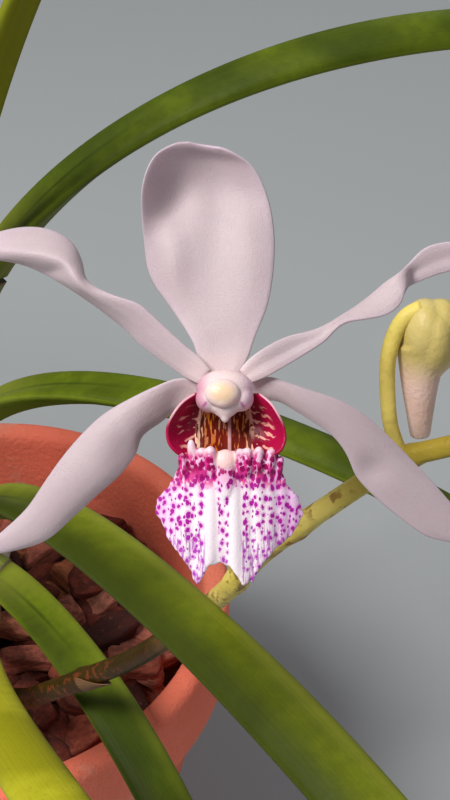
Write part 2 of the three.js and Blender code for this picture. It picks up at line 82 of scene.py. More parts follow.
add_light("key", (-0.42, -0.32, 1.02), (0.03, -0.08, 0.22), 11.4, 0.34, (1.0, 0.98, 0.95))
add_light("fill", (0.9, -0.8, 0.6), (0, 0, 0.2), 1.4, 0.9, (0.95, 0.97, 1.0))
add_light("back", (0.4, 0.9, 0.8), (0, 0, 0.2), 1.8, 0.7, (1.0, 0.98, 0.95))
world = bpy.data.worlds.new("room")
world.use_nodes = True
world.node_tree.nodes["Background"].inputs["Color"].default_value = (0.86, 0.92, 1.0, 1)
world.node_tree.nodes["Background"].inputs["Strength"].default_value = 0.155
bpy.context.scene.world = world


# The pot is machine-pressed red clay, fired and left unglazed, with a thick rim band, a narrow
# foot and drainage holes in its floor. Its wall is extruded ring by ring from the round base.
POT_FOOT_RADIUS = 37
# The wall's outline up the outside, over the rim and down the inside: radius and height
POT_WALL = [(38, 0.8), (52.5, 78.2), (53.2, 78.8), (55.4, 79.2), (56.3, 79.8), (56.8, 81.2), (57.0, 90),
            (57.0, 97.6), (56.7, 99), (55.9, 99.8), (54.8, 100), (53, 99.9), (51.9, 99.5), (51.2, 98.6),
            (50.8, 97), (48.0, 79), (40.75, 42), (33.9, 7.5), (32.8, 6.3), (31, 6)]
HOLE_RADIUS = 5
HOLE_DISTANCE = 20


def only(piece):
    """Makes one object the selected and active one."""
    bpy.ops.object.select_all(action="DESELECT")
    piece.select_set(True)
    bpy.context.view_layer.objects.active = piece


def modify(piece, kind, **settings):
    """Adds a modifier with its settings and applies it."""
    only(piece)
    modifier = piece.modifiers.new("change", kind)
    for key, value in settings.items():
        setattr(modifier, key, value)
    bpy.ops.object.modifier_apply(modifier="change")


def tree_of(*values):
    """The node tree of the first value that is a node's output."""
    return next(value.id_data for value in values if isinstance(value, bpy.types.NodeSocket))


def wire(value, socket):
    if isinstance(value, bpy.types.NodeSocket):
        socket.id_data.links.new(value, socket)
    else:
        socket.default_value = value


def node(tree, kind, settings=None, **inputs):
    """Adds a node; an input is a value or another node's output."""
    made = tree.nodes.new(kind)
    for key, value in (settings or {}).items():
        setattr(made, key, value)
    for key, value in inputs.items():
        wire(value, made.inputs[key.replace("_", " ")])
    return made


def calc(operation, first, second=0.0, clamp=False):
    made = node(tree_of(first, second), "ShaderNodeMath", {"operation": operation, "use_clamp": clamp})
    wire(first, made.inputs[0])
    wire(second, made.inputs[1])
    return made.outputs[0]


def plus(first, second, clamp=False):
    return calc("ADD", first, second, clamp)


def minus(first, second):
    return calc("SUBTRACT", first, second)


def times(first, *others):
    for other in others:
        first = calc("MULTIPLY", first, other)
    return first


def blend(amount, first, second):
    """The first colour where amount is 0 and the second where it is 1."""
    mix = node(tree_of(amount, first, second), "ShaderNodeMix", {"data_type": "RGBA"}, Factor=amount,
               A=first, B=second)
    return mix.outputs["Result"]


def tint(base, colour, *amounts):
    """The base with the colour laid over it, as far as the product of the amounts says."""
    return blend(times(*amounts), base, colour)


def step(value, low, high):
    """0 below low, 1 above high and smooth between them; with low above high it runs the other way."""
    start, end = (1.0, 0.0) if low > high else (0.0, 1.0)
    made = node(tree_of(value), "ShaderNodeMapRange", {"interpolation_type": "SMOOTHSTEP"}, Value=value,
                From_Min=min(low, high), From_Max=max(low, high), To_Min=start, To_Max=end)
    return made.outputs["Result"]


def grain(where, scale, detail=3.0, roughness=0.55, stretch=None):
    """Fractal noise from 0 to 1 at so many waves a metre, or a unit of the attribute."""
    tree = tree_of(where)
    if stretch:
        where = node(tree, "ShaderNodeMapping", Vector=where, Scale=stretch).outputs["Vector"]
    made = node(tree, "ShaderNodeTexNoise", Vector=where, Scale=scale, Detail=detail, Roughness=roughness)
    return made.outputs["Fac"]


def axes(vector):
    """The X, Y and Z of a vector."""
    return list(node(tree_of(vector), "ShaderNodeSeparateXYZ", Vector=vector).outputs)


def attribute(tree, name, kind="Vector"):
    return node(tree, "ShaderNodeAttribute", {"attribute_name": name}).outputs[kind]


def new_material(name, roughness):
    made = bpy.data.materials.new(name)
    made.use_nodes = True
    made.node_tree.nodes["Principled BSDF"].inputs["Roughness"].default_value = roughness
    return made, made.node_tree


def object_place(tree):
    return node(tree, "ShaderNodeTexCoord").outputs["Object"]


def dress(made, colour, relief, depth, **values):
    """Gives a material its colour, its relief in metres and its shader's other values."""
    shader = made.node_tree.nodes["Principled BSDF"]
    raised = node(made.node_tree, "ShaderNodeBump", Height=relief, Distance=depth, Strength=1.0)
    wire(colour, shader.inputs["Base Color"])
    wire(raised.outputs["Normal"], shader.inputs["Normal"])
    for key, value in values.items():
        shader.inputs[key.replace("_", " ")].default_value = value
    return made


def finish_piece(piece, material, slot, *replaced):
    """Smooth shading, the material, and the piece's place in the frame."""
    only(piece)
    bpy.ops.object.shade_smooth()
    piece.data.materials.clear()
    piece.data.materials.append(material)
    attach(piece, "root")
    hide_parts(*replaced)
    return piece


def clay_material():
    made, tree = new_material("red_clay", 0.86)
    place = object_place(tree)
    cloud = grain(place, 26, 5)
    fine = grain(place, 900, 3)
    speck = grain(place, 2600, 1)
    height = axes(place)[2]
    red = blend(cloud, srgb(240, 98, 68), srgb(255, 146, 118))
    damp = times(step(height, 0.085, 0.03), step(cloud, 0.62, 0.4))
    red = tint(red, srgb(140, 52, 34), damp, 0.45)
    salt = times(step(grain(place, 60, 6, 0.7), 0.56, 0.68), step(height, 0.02, 0.09))
    red = tint(red, srgb(228, 178, 158), salt, 0.35)
    red = tint(red, srgb(120, 50, 36), step(speck, 0.62, 0.75), 0.3)
    uneven = plus(times(fine, 0.6), cloud)
    return dress(made, red, uneven, 0.0006)


def make_pot():
    bpy.ops.object.select_all(action="DESELECT")
    bpy.ops.mesh.primitive_circle_add(vertices=144, radius=POT_FOOT_RADIUS * MM, fill_type="NGON",
                                      location=(0, 0, 0))
    pot = bpy.context.object
    pot.name = "clay_pot"
    bpy.ops.object.mode_set(mode="EDIT")
    bpy.ops.mesh.select_all(action="SELECT")
    radius, height = POT_FOOT_RADIUS, 0
    for next_radius, next_height in POT_WALL:
        lift = (0, 0, (next_height - height) * MM)
        bpy.ops.mesh.extrude_region_move(TRANSFORM_OT_translate={"value": lift})
        ratio = next_radius / radius
        bpy.ops.transform.resize(value=(ratio, ratio, 1), center_override=(0, 0, next_height * MM))
        radius, height = next_radius, next_height
    bpy.ops.mesh.select_all(action="SELECT")
    bpy.ops.mesh.normals_make_consistent(inside=False)
    bpy.ops.object.mode_set(mode="OBJECT")
    for hole in range(4):
        angle = math.radians(45 + 90 * hole)
        place = (HOLE_DISTANCE * MM * math.cos(angle), HOLE_DISTANCE * MM * math.sin(angle), 0)
        bpy.ops.mesh.primitive_cylinder_add(vertices=32, radius=HOLE_RADIUS * MM, depth=30 * MM,
                                            location=place)
        drill = bpy.context.object
        modify(pot, "BOOLEAN", operation="DIFFERENCE", object=drill)
        bpy.data.objects.remove(drill)
    finish_piece(pot, clay_material(), "clay", "pot")
    bpy.ops.object.shade_smooth_by_angle(angle=math.radians(50))


make_pot()


# The bark is orchid bark: loose chips of pine bark, 10 to 18 mm, that fill the pot. A few chips are
# modelled with their layers and broken ends, and copies of them are strewn over the dark bed.
BARK_TOP = 85
BED_RADIUS = 47.2
BED_FOOT_RADIUS = 33.2
BED_DEPTH = 71.9
CHIP_KINDS = 7
CHIP_TILT = 0.42
# The layers of loose chips: how many, how high, how far out and how large
CHIP_LAYERS = [(70, 81.5, 44.5, 0.85), (110, 86.2, 43.0, 0.95), (38, 89.2, 39.0, 0.8)]


def bark_material():
    made, tree = new_material("pine_bark", 0.9)
    own = attribute(tree, "chip")
    tone = attribute(tree, "tone", "Fac")
    layers = grain(own, 1.0, 6, 0.65, stretch=(180, 260, 900))
    flakes = grain(own, 420, 4, 0.7)
    wood = node(tree, "ShaderNodeValToRGB", Fac=tone)
    stops = wood.color_ramp.elements
    stops[0].position, stops[0].color = 0.0, srgb(68, 24, 17)
    stops[1].position, stops[1].color = 1.0, srgb(206, 118, 72)
    for at, colour in ((0.35, (122, 50, 34)), (0.65, (170, 82, 60)), (0.85, (204, 126, 106))):
        stop = stops.new(at)
        stop.color = srgb(*colour)
    base = blend(times(step(layers, 0.38, 0.62), 0.6), wood.outputs["Color"], srgb(48, 20, 14))
    base = tint(base, srgb(190, 130, 100), step(flakes, 0.6, 0.72), 0.45)
    return dress(made, base, plus(layers, times(flakes, 0.5)), 0.0012)


def model_chip(kind, rough):
    """One bark chip about 14 mm long, lying along X, with broken ends and layered sides."""
    bpy.ops.mesh.primitive_cube_add(size=1, location=(0, 0, 0))
    chip = bpy.context.object
    chip.scale = (0.014, 0.0085 + 0.0004 * kind, 0.0046)
    bpy.ops.object.transform_apply(location=False, rotation=False, scale=True)
    bpy.ops.object.mode_set(mode="EDIT")
    bpy.ops.mesh.select_all(action="SELECT")
    bpy.ops.mesh.subdivide(number_cuts=3)
    bpy.ops.object.mode_set(mode="OBJECT")
    for vertex in chip.data.vertices:
        place = vertex.co * 120 + Vector((kind * 7.3, 0, 0))
        shift = noise.noise_vector(place) * 0.0021 + noise.noise_vector(vertex.co * 420) * 0.0007
        taper = 1 - 0.35 * abs(vertex.co.x / 0.007) ** 3 * rough.random()
        vertex.co = Vector((vertex.co.x, vertex.co.y * taper, vertex.co.z * taper)) + shift
    modify(chip, "SUBSURF", levels=1, render_levels=1)
    return chip


def join(pieces, name):
    """Joins the pieces into the first one, under a new name."""
    bpy.ops.object.select_all(action="DESELECT")
    for piece in pieces:
        piece.select_set(True)
    bpy.context.view_layer.objects.active = pieces[0]
    bpy.ops.object.join()
    pieces[0].name = name
    return pieces[0]


def scatter_chips():
    rough = random.Random(11)
    noise.seed_set(11)
    kinds = [model_chip(kind, rough) for kind in range(CHIP_KINDS)]
    copies = []
    for count, height, reach, size in CHIP_LAYERS:
        for chip in range(count):
            distance = reach * math.sqrt((chip + 0.5) / count)
            if height > BARK_TOP and distance < 8:
                continue
            around = chip * math.radians(137.5) + height
            scale = size * rough.uniform(0.72, 1.18)
            if distance + 7 * scale > BED_RADIUS:
                distance = BED_RADIUS - 7 * scale
            copy = rough.choice(kinds).copy()
            copy.data = copy.data.copy()
            bpy.context.collection.objects.link(copy)
            offset = Vector((rough.random(), rough.random(), rough.random()))
            shade = rough.random() ** 1.2
            own = copy.data.attributes.new("chip", "FLOAT_VECTOR", "POINT")
            for vertex in copy.data.vertices:
                own.data[vertex.index].vector = vertex.co + offset
            tone = copy.data.attributes.new("tone", "FLOAT", "POINT")
            for value in tone.data:
                value.value = shade
            turn = Matrix.Rotation(rough.uniform(0, 2 * math.pi), 4, "Z")
            lean = Matrix.Rotation(rough.uniform(-CHIP_TILT, CHIP_TILT), 4, "X")
            lean = lean @ Matrix.Rotation(rough.uniform(-CHIP_TILT, CHIP_TILT), 4, "Y")
            spot = Matrix.Translation(MM * Vector((distance * math.cos(around), distance * math.sin(around),
                                                   height + rough.uniform(-0.8, 0.8))))
            copy.data.transform(spot @ turn @ lean @ Matrix.Scale(scale, 4))
            copies.append(copy)
    for kind in kinds:
        bpy.data.objects.remove(kind)
    return join(copies, "bark_chips")


def make_bed():
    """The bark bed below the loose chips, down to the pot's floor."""
    bpy.ops.object.select_all(action="DESELECT")
    bpy.ops.mesh.primitive_cylinder_add(vertices=96, radius=BED_FOOT_RADIUS * MM, depth=0.6 * MM,
                                        location=(0, 0, 6.6 * MM))
    bed = bpy.context.object
    bed.name = "bark_bed"
    bpy.ops.object.transform_apply(location=True, rotation=False, scale=False)
    bpy.ops.object.mode_set(mode="EDIT")
    bpy.ops.mesh.select_all(action="DESELECT")
    bpy.ops.object.mode_set(mode="OBJECT")
    for face in bed.data.polygons:
        face.select = face.normal.z > 0.9
    bpy.ops.object.mode_set(mode="EDIT")
    bpy.ops.mesh.extrude_region_move(TRANSFORM_OT_translate={"value": (0, 0, BED_DEPTH * MM)})
    bpy.ops.transform.resize(value=(1.43, 1.43, 1), center_override=(0, 0, 78 * MM))
    bpy.ops.mesh.extrude_region_move(TRANSFORM_OT_translate={"value": (0, 0, 2 * MM)})
    bpy.ops.transform.resize(value=(0.96, 0.96, 1), center_override=(0, 0, 80 * MM))
    bpy.ops.object.mode_set(mode="OBJECT")
    for name, kind in (("chip", "FLOAT_VECTOR"), ("tone", "FLOAT")):
        bed.data.attributes.new(name, kind, "POINT")
    for vertex in bed.data.vertices:
        bed.data.attributes["chip"].data[vertex.index].vector = vertex.co
    return bed


bark = bark_material()
finish_piece(make_bed(), bark, "bark", "bark")
finish_piece(scatter_chips(), bark, "bark", "bark")
bpy.ops.object.shade_smooth_by_angle(angle=math.radians(38))


# The leaves are thick fleshy straps, folded into a V at the foot and rounded further out. Eleven of
# them leave the stem in two ranks, arch out and droop. Each is a cylinder moved onto its route.
STEM_RADIUS = 4
LEAF_JOINT = 11
LEAF_THICKNESS = 3.5
# How hollow a leaf is at its foot, and further out, where it is rounded instead
LEAF_CHANNEL = 0.62
LEAF_OPEN_CHANNEL = -0.14
LEAVES = {
    "leaf_front_1": dict(base=93, heading=-83, turn=40, rise=44, end=-6, bend=1.5, length=225, half=5.0),
    "leaf_back_1": dict(base=101, heading=152, turn=-8, rise=38, end=-78, bend=1.0, length=225, half=4.7),
    "leaf_front_2": dict(base=110, heading=-52, turn=-23, rise=28, end=-88, bend=1.0, length=220, half=4.7),
    "leaf_back_2": dict(base=119, heading=172, turn=10, rise=47, end=-72, bend=1.0, length=245, half=4.6),
    "leaf_front_3": dict(base=128, heading=-61, turn=8, rise=48, end=-40, bend=1.18, length=260, half=5.1),
    "leaf_back_3": dict(base=138, heading=139, turn=-6, rise=58, end=-62, bend=1.0, length=255, half=4.6),
    "leaf_front_4": dict(base=148, heading=-34, turn=28, rise=71, end=-75, bend=0.6, length=245, half=3.9),
    "leaf_back_4": dict(base=157, heading=176, turn=6, rise=68, end=-52, bend=1.0, length=250, half=4.4),
    "leaf_front_5": dict(base=165, heading=12, turn=-9, rise=86, end=-49, bend=0.61, length=260, half=4.3),
    "leaf_back_5": dict(base=176, heading=150, turn=12, rise=77, end=-34, bend=1.1, length=225, half=4.2),
    "leaf_front_6": dict(base=187, heading=-24, turn=-4, rise=71, end=-25, bend=1.9, length=235, half=3.9),
}
# How far a leaf leans towards its right-hand side past its first third, in degrees
LEAF_ROLL = {"leaf_front_5": 24, "leaf_front_4": 6}
# How yellow each leaf is: the near and the topmost ones catch more light and are younger
LEAF_YELLOW = {"leaf_front_1": 0.9, "leaf_front_6": 0.6, "leaf_front_3": 0.1}
# How strongly painted shade darkens the left half of a leaf and painted light lightens its right half
LEAF_PAINTED_SHADE = {"leaf_front_3": 0.85, "leaf_front_2": 0.45}


def leaf_route(base, heading, turn, rise, end, bend, length, half):
    """Points a millimetre apart from the stem's side to the leaf's tip."""
    compass = math.radians(heading)
    point = Vector((STEM_RADIUS * math.cos(compass), STEM_RADIUS * math.sin(compass), base))
    route = [point.copy()]
    for count in range(length):
        along = (count + 0.5) / length
        lift = math.radians(rise + (end - rise) * along ** bend)
        compass = math.radians(heading + turn * along)
        point += Vector((math.cos(lift) * math.cos(compass), math.cos(lift) * math.sin(compass),
                         math.sin(lift)))
        route.append(point.copy())
    return route


def joint_index(route):
    """The first of the route's points that lies outside the leaf bases."""
    return next(index for index, point in enumerate(route) if math.hypot(point.x, point.y) > LEAF_JOINT)


def on_route(route, index):
    """The point at a fractional index, with the directions to the right, up and ahead there."""
    low = min(max(int(index), 0), len(route) - 2)
    point = route[low].lerp(route[low + 1], index - low)
    ahead = (route[min(low + 3, len(route) - 1)] - route[max(low - 2, 0)]).normalized()
    side = Vector((ahead.y, -ahead.x, 0)).normalized()
    return point, side, side.cross(ahead), ahead


def add_tube(name, rings, sides):
    """A capped cylinder along Z, from -1 to 1, whose side is cut into rings."""
    bpy.ops.object.select_all(action="DESELECT")
    bpy.ops.mesh.primitive_cylinder_add(vertices=sides, radius=1, depth=2, end_fill_type="TRIFAN",
                                        location=(0, 0, 0))
    piece = bpy.context.object
    piece.name = name
    bpy.ops.object.mode_set(mode="EDIT")
    bpy.ops.mesh.select_all(action="DESELECT")
    bpy.ops.mesh.select_mode(type="EDGE")
    bpy.ops.object.mode_set(mode="OBJECT")
    for edge in piece.data.edges:
        one, other = (piece.data.vertices[index].co for index in edge.vertices)
        edge.select = abs(one.z - other.z) > 1
    bpy.ops.object.mode_set(mode="EDIT")
    bpy.ops.mesh.subdivide(number_cuts=rings - 1)
    bpy.ops.mesh.select_mode(type="VERT")
    bpy.ops.object.mode_set(mode="OBJECT")
    return piece


def shape_tube(piece, surface):
    """Moves each vertex of a tube to surface(across, up, along), in millimetres. The attribute blade
    keeps across, up and along for the materials."""
    kept = piece.data.attributes.new("blade", "FLOAT_VECTOR", "POINT")
    for vertex in piece.data.vertices:
        across, up, along = vertex.co.x, vertex.co.y, (vertex.co.z + 1) / 2
        kept.data[vertex.index].vector = (across, up, along)
        vertex.co = surface(across, up, along) * MM
    piece.data.update()


def leaf_lift(across, up, half, thickness, channel):
    """Height of a leaf's skin above its route: a channel above, fleshy rounded margins, a keel below."""
    flesh = math.sqrt(max(0.0, 1 - abs(across) ** 2.4))
    fold = 0.5 * (math.sqrt(across * across + 0.02) - 0.14) + 0.5 * across * across
    if up > 0:
        return channel * half * fold + 0.5 * thickness * (flesh - 1)
    keel = 0.3 * thickness * math.exp(-(across / 0.2) ** 2)
    return channel * half * fold - 0.5 * thickness * (flesh + 1) - keel


def mixed(share, first, second):
    """The colour at a share of the way between two."""
    return [one + (other - one) * share for one, other in zip(first, second)]


def leaf_material(name, yellow, shade):
    made, tree = new_material(name, 0.58)
    place = object_place(tree)
    blade = attribute(tree, "blade")
    across, up, along = axes(blade)
    veins = grain(blade, 1.0, 2, 0.5, stretch=(13, 0, 2.5))
    cloud = grain(place, 30, 4)
    mottle = grain(place, 420, 3, 0.6)
    fleck = grain(place, 1500, 2)
    deep = mixed(yellow, srgb(56, 70, 5), srgb(156, 152, 22))
    light = mixed(yellow, srgb(98, 114, 12), srgb(204, 198, 46))
    green = blend(step(cloud, 0.36, 0.64), deep, light)
    green = tint(green, deep, step(mottle, 0.4, 0.65), 0.3)
    green = tint(green, light, step(veins, 0.45, 0.75), 0.1)
    green = tint(green, srgb(44, 58, 6), step(fleck, 0.6, 0.74), 0.2)
    # Painted light on a leaf's right half and painted shade on its left half, as strong as shade says
    green = tint(green, srgb(182, 184, 58), step(across, -0.2, -0.8), 0.3 * shade)
    green = tint(green, srgb(46, 56, 5), step(across, -0.35, 0.75), shade)
    edge = calc("ABSOLUTE", across)
    green = tint(green, srgb(146, 160, 46), step(edge, 0.93, 1.0), 0.3 - 0.3 * shade)
    # Painted shade in the crease of the V, on the upper side near the leaf's foot
    fold = times(step(edge, 0.14, 0.0), step(up, 0.0, 0.5), step(along, 0.2, 0.08))
    green = tint(green, srgb(34, 46, 6), fold, 0.65)
    green = tint(green, srgb(146, 152, 56), step(along, 0.1, 0.0), 0.5)
    green = tint(green, srgb(120, 88, 40), step(along, 0.985, 1.0), 0.8)
    relief = plus(times(veins, 0.35), times(mottle, 0.6))
    return dress(made, green, relief, 0.00016, Specular_IOR_Level=0.16, Subsurface_Weight=0.1,
                 Subsurface_Radius=(0.4, 1.0, 0.1), Subsurface_Scale=0.002)


def make_leaf(name, leaf):
    route = leaf_route(**leaf)
    joint = joint_index(route) + 1
    ripple = random.Random(name).uniform(0, 6)

    def surface(across, up, along):
        index = joint + along * (len(route) - 2 - joint)
        taper = max(0.06, (1 - (index / len(route)) ** 4.2) ** 0.7)
        point, side, lift, _ = on_route(route, index)
        half = leaf["half"] * taper * (1 + 0.012 * math.sin(index * 0.09 + ripple))
        thickness = LEAF_THICKNESS * (0.35 + 0.65 * taper)
        flat = min(1.0, 2.2 * index / len(route))
        channel = LEAF_CHANNEL + (LEAF_OPEN_CHANNEL - LEAF_CHANNEL) * flat * flat * (3 - 2 * flat)
        height = leaf_lift(across, up, half, thickness, channel)
        roll = math.radians(LEAF_ROLL.get(name, 0)) * flat * flat * (3 - 2 * flat)
        wide = side * math.cos(roll) - lift * math.sin(roll)
        high = lift * math.cos(roll) + side * math.sin(roll)
        return point + wide * across * half + high * height

    piece = add_tube(name + "_blade", 110, 32)
    shape_tube(piece, surface)
    return piece


leaf_tones = {}
for leaf_name, leaf_facts in LEAVES.items():
    tone = (LEAF_YELLOW.get(leaf_name, 0.0), LEAF_PAINTED_SHADE.get(leaf_name, 0.0))
    if tone not in leaf_tones:
        leaf_tones[tone] = leaf_material(f"leaf_green_{len(leaf_tones) + 1}", *tone)
    finish_piece(make_leaf(leaf_name, leaf_facts), leaf_tones[tone], "leaf", leaf_name)


# The stem is one upright shoot hidden by the clasping bases of its leaves. Each base wraps round the
# stem at its foot and opens into the leaf's V at the joint; the lowest ones are dry and brown.
STEM_FOOT = 72
STEM_TOP = 196


def stem_material():
    made, tree = new_material("leaf_base_green", 0.5)
    place = object_place(tree)
    height = axes(place)[2]
    blade = attribute(tree, "blade")
    along = axes(blade)[2]
    lines = grain(blade, 1.0, 4, 0.6, stretch=(16, 16, 0.6))
    cloud = grain(place, 90, 4)
    green = blend(cloud, srgb(84, 100, 26), srgb(140, 148, 54))
    green = tint(green, srgb(176, 176, 96), step(lines, 0.5, 0.66), 0.5)
    dry = blend(lines, srgb(112, 78, 46), srgb(186, 156, 110))
    age = plus(step(height, 0.118, 0.098), times(minus(cloud, 0.5), 0.6), clamp=True)
    green = tint(green, dry, age)
    scar = step(along, 0.955, 0.99)
    green = tint(green, srgb(86, 58, 30), scar, 0.75)
    return dress(made, green, lines, 0.0004)


def make_leaf_base(name, leaf):
    route = leaf_route(**leaf)
    joint = joint_index(route)
    heading = math.radians(leaf["heading"])
    out = Vector((math.cos(heading), math.sin(heading), 0))
    foot = Vector((0, 0, max(leaf["base"] - 16, BARK_TOP + 4)))

    def surface(across, up, along):
        split = 0.42
        if along < split:
            rise = along / split
            point = foot.lerp(route[0], rise ** 1.4)
            _, side, lift, _ = on_route(route, 0)
            lift = lift.lerp(-out, 1 - rise).normalized()
        else:
            point, side, lift, _ = on_route(route, (along - split) / (1 - split) * joint)
        open_up = max(0.0, min(1.0, (along - 0.15) / 0.8)) ** 1.3
        round_side, round_up = across * 5.3, up * 5.3
        half = leaf["half"] * 1.06
        flat_up = leaf_lift(across, up, half, LEAF_THICKNESS + 0.3, LEAF_CHANNEL)
        sideways = round_side + (across * half - round_side) * open_up
        upward = round_up + (flat_up - round_up) * open_up
        return point + side * sideways + lift * upward

    piece = add_tube(name, 26, 28)
    shape_tube(piece, surface)
    return piece


def make_stem():
    def surface(across, up, along):
        height = STEM_FOOT + along * (STEM_TOP - STEM_FOOT)
        radius = STEM_RADIUS * (1 - 0.35 * along ** 3)
        sway = 1.5 * math.sin(along * 2 * math.pi)
        return Vector((sway + across * radius, up * radius, height))

    core = add_tube("stem", 60, 28)
    shape_tube(core, surface)
    bases = [make_leaf_base(name + "_base", leaf) for name, leaf in LEAVES.items()]
    return join([core] + bases, "stem_and_leaf_bases")


finish_piece(make_stem(), stem_material(), "stem", "stem")


# The aerial roots are thick cords with a silvery spongy skin. They leave the stem between the
# leaf bases, arch out and run down into the bark.
ROOT_RADIUS = 2.3
ROOTS = {
    "root_1": dict(start=99, heading=60, reach=24),
    "root_2": dict(start=106, heading=188, reach=27),
    "root_3": dict(start=96, heading=-144, reach=22),
    "root_4": dict(start=94, heading=120, reach=28),
}


def curve_point(a, b, c, d, t):
    """A point between b, where t is 0, and c, where it is 1, on the smooth curve past a and d."""
    bend = (2 * a - 5 * b + 4 * c - d) * t * t
    return 0.5 * (2 * b + (c - a) * t + bend + (3 * b - a - 3 * c + d) * t ** 3)


def smooth_path(points, count):
    """count + 1 points evenly spaced along a smooth curve through the given ones."""
    points = [Vector(point) for point in points]
    padded = [2 * points[0] - points[1]] + points + [2 * points[-1] - points[-2]]
    dense = []
    for a, b, c, d in zip(padded, padded[1:], padded[2:], padded[3:]):
        for part in range(24):
            dense.append(curve_point(a, b, c, d, part / 24))
    dense.append(points[-1])
    lengths = [0.0]
    for one, other in zip(dense, dense[1:]):
        lengths.append(lengths[-1] + (other - one).length)
    path = []
    place = 0
    for part in range(count + 1):
        wanted = lengths[-1] * part / count
        while place < len(dense) - 2 and lengths[place + 1] < wanted:
            place += 1
        gap = max(lengths[place + 1] - lengths[place], 1e-9)
        path.append(dense[place].lerp(dense[place + 1], min((wanted - lengths[place]) / gap, 1.0)))
    return path


def path_frames(path):
    """A side and an up direction at each point, carried along the path without twisting."""
    ahead = [(path[min(i + 1, len(path) - 1)] - path[max(i - 1, 0)]).normalized() for i in range(len(path))]
    side = ahead[0].orthogonal().normalized()
    frames = []
    for direction in ahead:
        side = (side - direction * side.dot(direction)).normalized()
        frames.append((side, direction.cross(side)))
    return frames


def make_cord(name, points, radius_at, rings=60, sides=24):
    """A round tube through the points; radius_at(along, angle) gives its radius."""
    path = smooth_path(points, rings)
    frames = path_frames(path)

    def surface(across, up, along):
        index = min(round(along * rings), rings)
        side, lift = frames[index]
        radius = radius_at(along, math.atan2(up, across))
        return path[index] + (side * across + lift * up) * radius

    piece = add_tube(name, rings, sides)
    shape_tube(piece, surface)
    return piece


def root_material():
    made, tree = new_material("root_skin", 0.78)
    place = object_place(tree)
    cloud = grain(place, 160, 5, 0.6)
    pit = grain(place, 1500, 2)
    skin = blend(step(cloud, 0.35, 0.65), srgb(132, 138, 108), srgb(196, 194, 174))
    skin = tint(skin, srgb(106, 124, 58), step(grain(place, 60, 3), 0.55, 0.7), 0.6)
    skin = tint(skin, srgb(120, 108, 84), step(pit, 0.6, 0.7), 0.4)
    return dress(made, skin, plus(cloud, pit), 0.0004)


def make_root(name, start, heading, reach):
    def out(distance, height):
        compass = math.radians(heading + distance)
        return (distance * math.cos(compass), distance * math.sin(compass), height)

    def radius_at(along, angle):
        return ROOT_RADIUS * (1 - 0.12 * along + 0.045 * math.sin(11 * along + heading * 0.1)
                              + 0.025 * math.sin(3 * angle + 19 * along))

    stops = [out(STEM_RADIUS - 1, start), out(0.55 * reach, start - 2), out(0.85 * reach, BARK_TOP + 8),
             out(reach, BARK_TOP), out(1.05 * reach, BARK_TOP - 12)]
    return make_cord(name + "_cord", stops, radius_at)


root_skin = root_material()
for root_name, root in ROOTS.items():
    finish_piece(make_root(root_name, **root), root_skin, "root", root_name)


# The flower spike leaves the stem low down, runs out over the bark, climbs behind the long front
# leaf and arches past the flower. It is fleshy and green with brown-red freckles, and a dry bract
# clasps it at each node.
SPIKE_ROUTE = [
    (-0.5, -3, 101), (-4.5, -16, 98.5), (4, -30, 102), (15.5, -39, 110.5), (23, -48.5, 124.5),
    (39.8, -57.8, 145), (49, -68.8, 166), (56, -78, 184.5),
    (61, -85.4, 200.3), (68.8, -89.4, 212.7), (76.6, -90.5, 221), (82, -92.3, 225), (89, -94, 229),
]
SPIKE_FOOT_RADIUS = 2.5
SPIKE_TIP_RADIUS = 1.2
SPIKE_NODES = (0.14, 0.395, 0.615, 0.73, 0.835, 0.925)
SPIKE_RINGS = 150
SPIKE_LENGTH = 202
# The way that the bract of each node faces
BRACT_FACES = ((0.2, -0.3, 0.9), (0, -0.643, -0.766), (0, 0.3, -0.9), (0, 0.766, -0.643),
               (0, 0.766, -0.643), (0, 0.766, -0.643))


def stalk_material(name, freckles, low_end=0.0):
    """Green skin with red-brown freckles. Where low_end is 1 it turns brown and dull towards the
    stem, darkened further there with painted shade, it is painted darker towards its far end as
    painted shade, and it has blotches near one of the upper nodes."""
    made, tree = new_material(name, 0.42)
    place = object_place(tree)
    blade = attribute(tree, "blade")
    along = axes(blade)[2]
    cloud = grain(place, 110, 4)
    dots = grain(place, 700, 3, 0.6)
    patch = grain(place, 130, 2)
    blotch = grain(place, 260, 4, 0.6)
    green = blend(cloud, srgb(216, 192, 80), srgb(240, 218, 128))
    # Painted shade: the skin darkens to olive towards the spike's far end
    green = tint(green, srgb(170, 148, 54), step(along, 0.86, 0.92), low_end)
    # Brown and dull towards the stem, darkened further there with painted shade
    low = blend(cloud, srgb(38, 25, 4), srgb(68, 50, 10))
    green = tint(green, low, step(along, 0.74, 0.52), low_end)
    mask = times(step(dots, 0.52, 0.6), step(patch, 0.42, 0.58))
    green = tint(green, srgb(122, 60, 32), mask, freckles)
    near = step(calc("ABSOLUTE", minus(along, 0.825)), 0.045, 0.01)
    stain = times(near, step(blotch, 0.44, 0.56), low_end)
    green = tint(green, srgb(150, 62, 38), stain, 0.75)
    return dress(made, green, plus(cloud, dots), 0.0002, Specular_IOR_Level=0.18, Subsurface_Weight=0.15,
                 Subsurface_Radius=(0.6, 1.0, 0.2), Subsurface_Scale=0.0015)


def bract_material():
    made, tree = new_material("dry_bract", 0.7)
    blade = attribute(tree, "blade")
    lines = grain(blade, 1.0, 3, 0.6, stretch=(14, 1, 1.2))
    tan = blend(lines, srgb(70, 44, 22), srgb(142, 102, 62))
    return dress(made, tan, lines, 0.0002)


def add_grid(name, rows, columns):
    """A flat grid in X and Y, from -1 to 1, ready to be shaped."""
    bpy.ops.object.select_all(action="DESELECT")
    bpy.ops.mesh.primitive_grid_add(x_subdivisions=columns, y_subdivisions=rows, size=2, location=(0, 0, 0))
    piece = bpy.context.object
    piece.name = name
    return piece


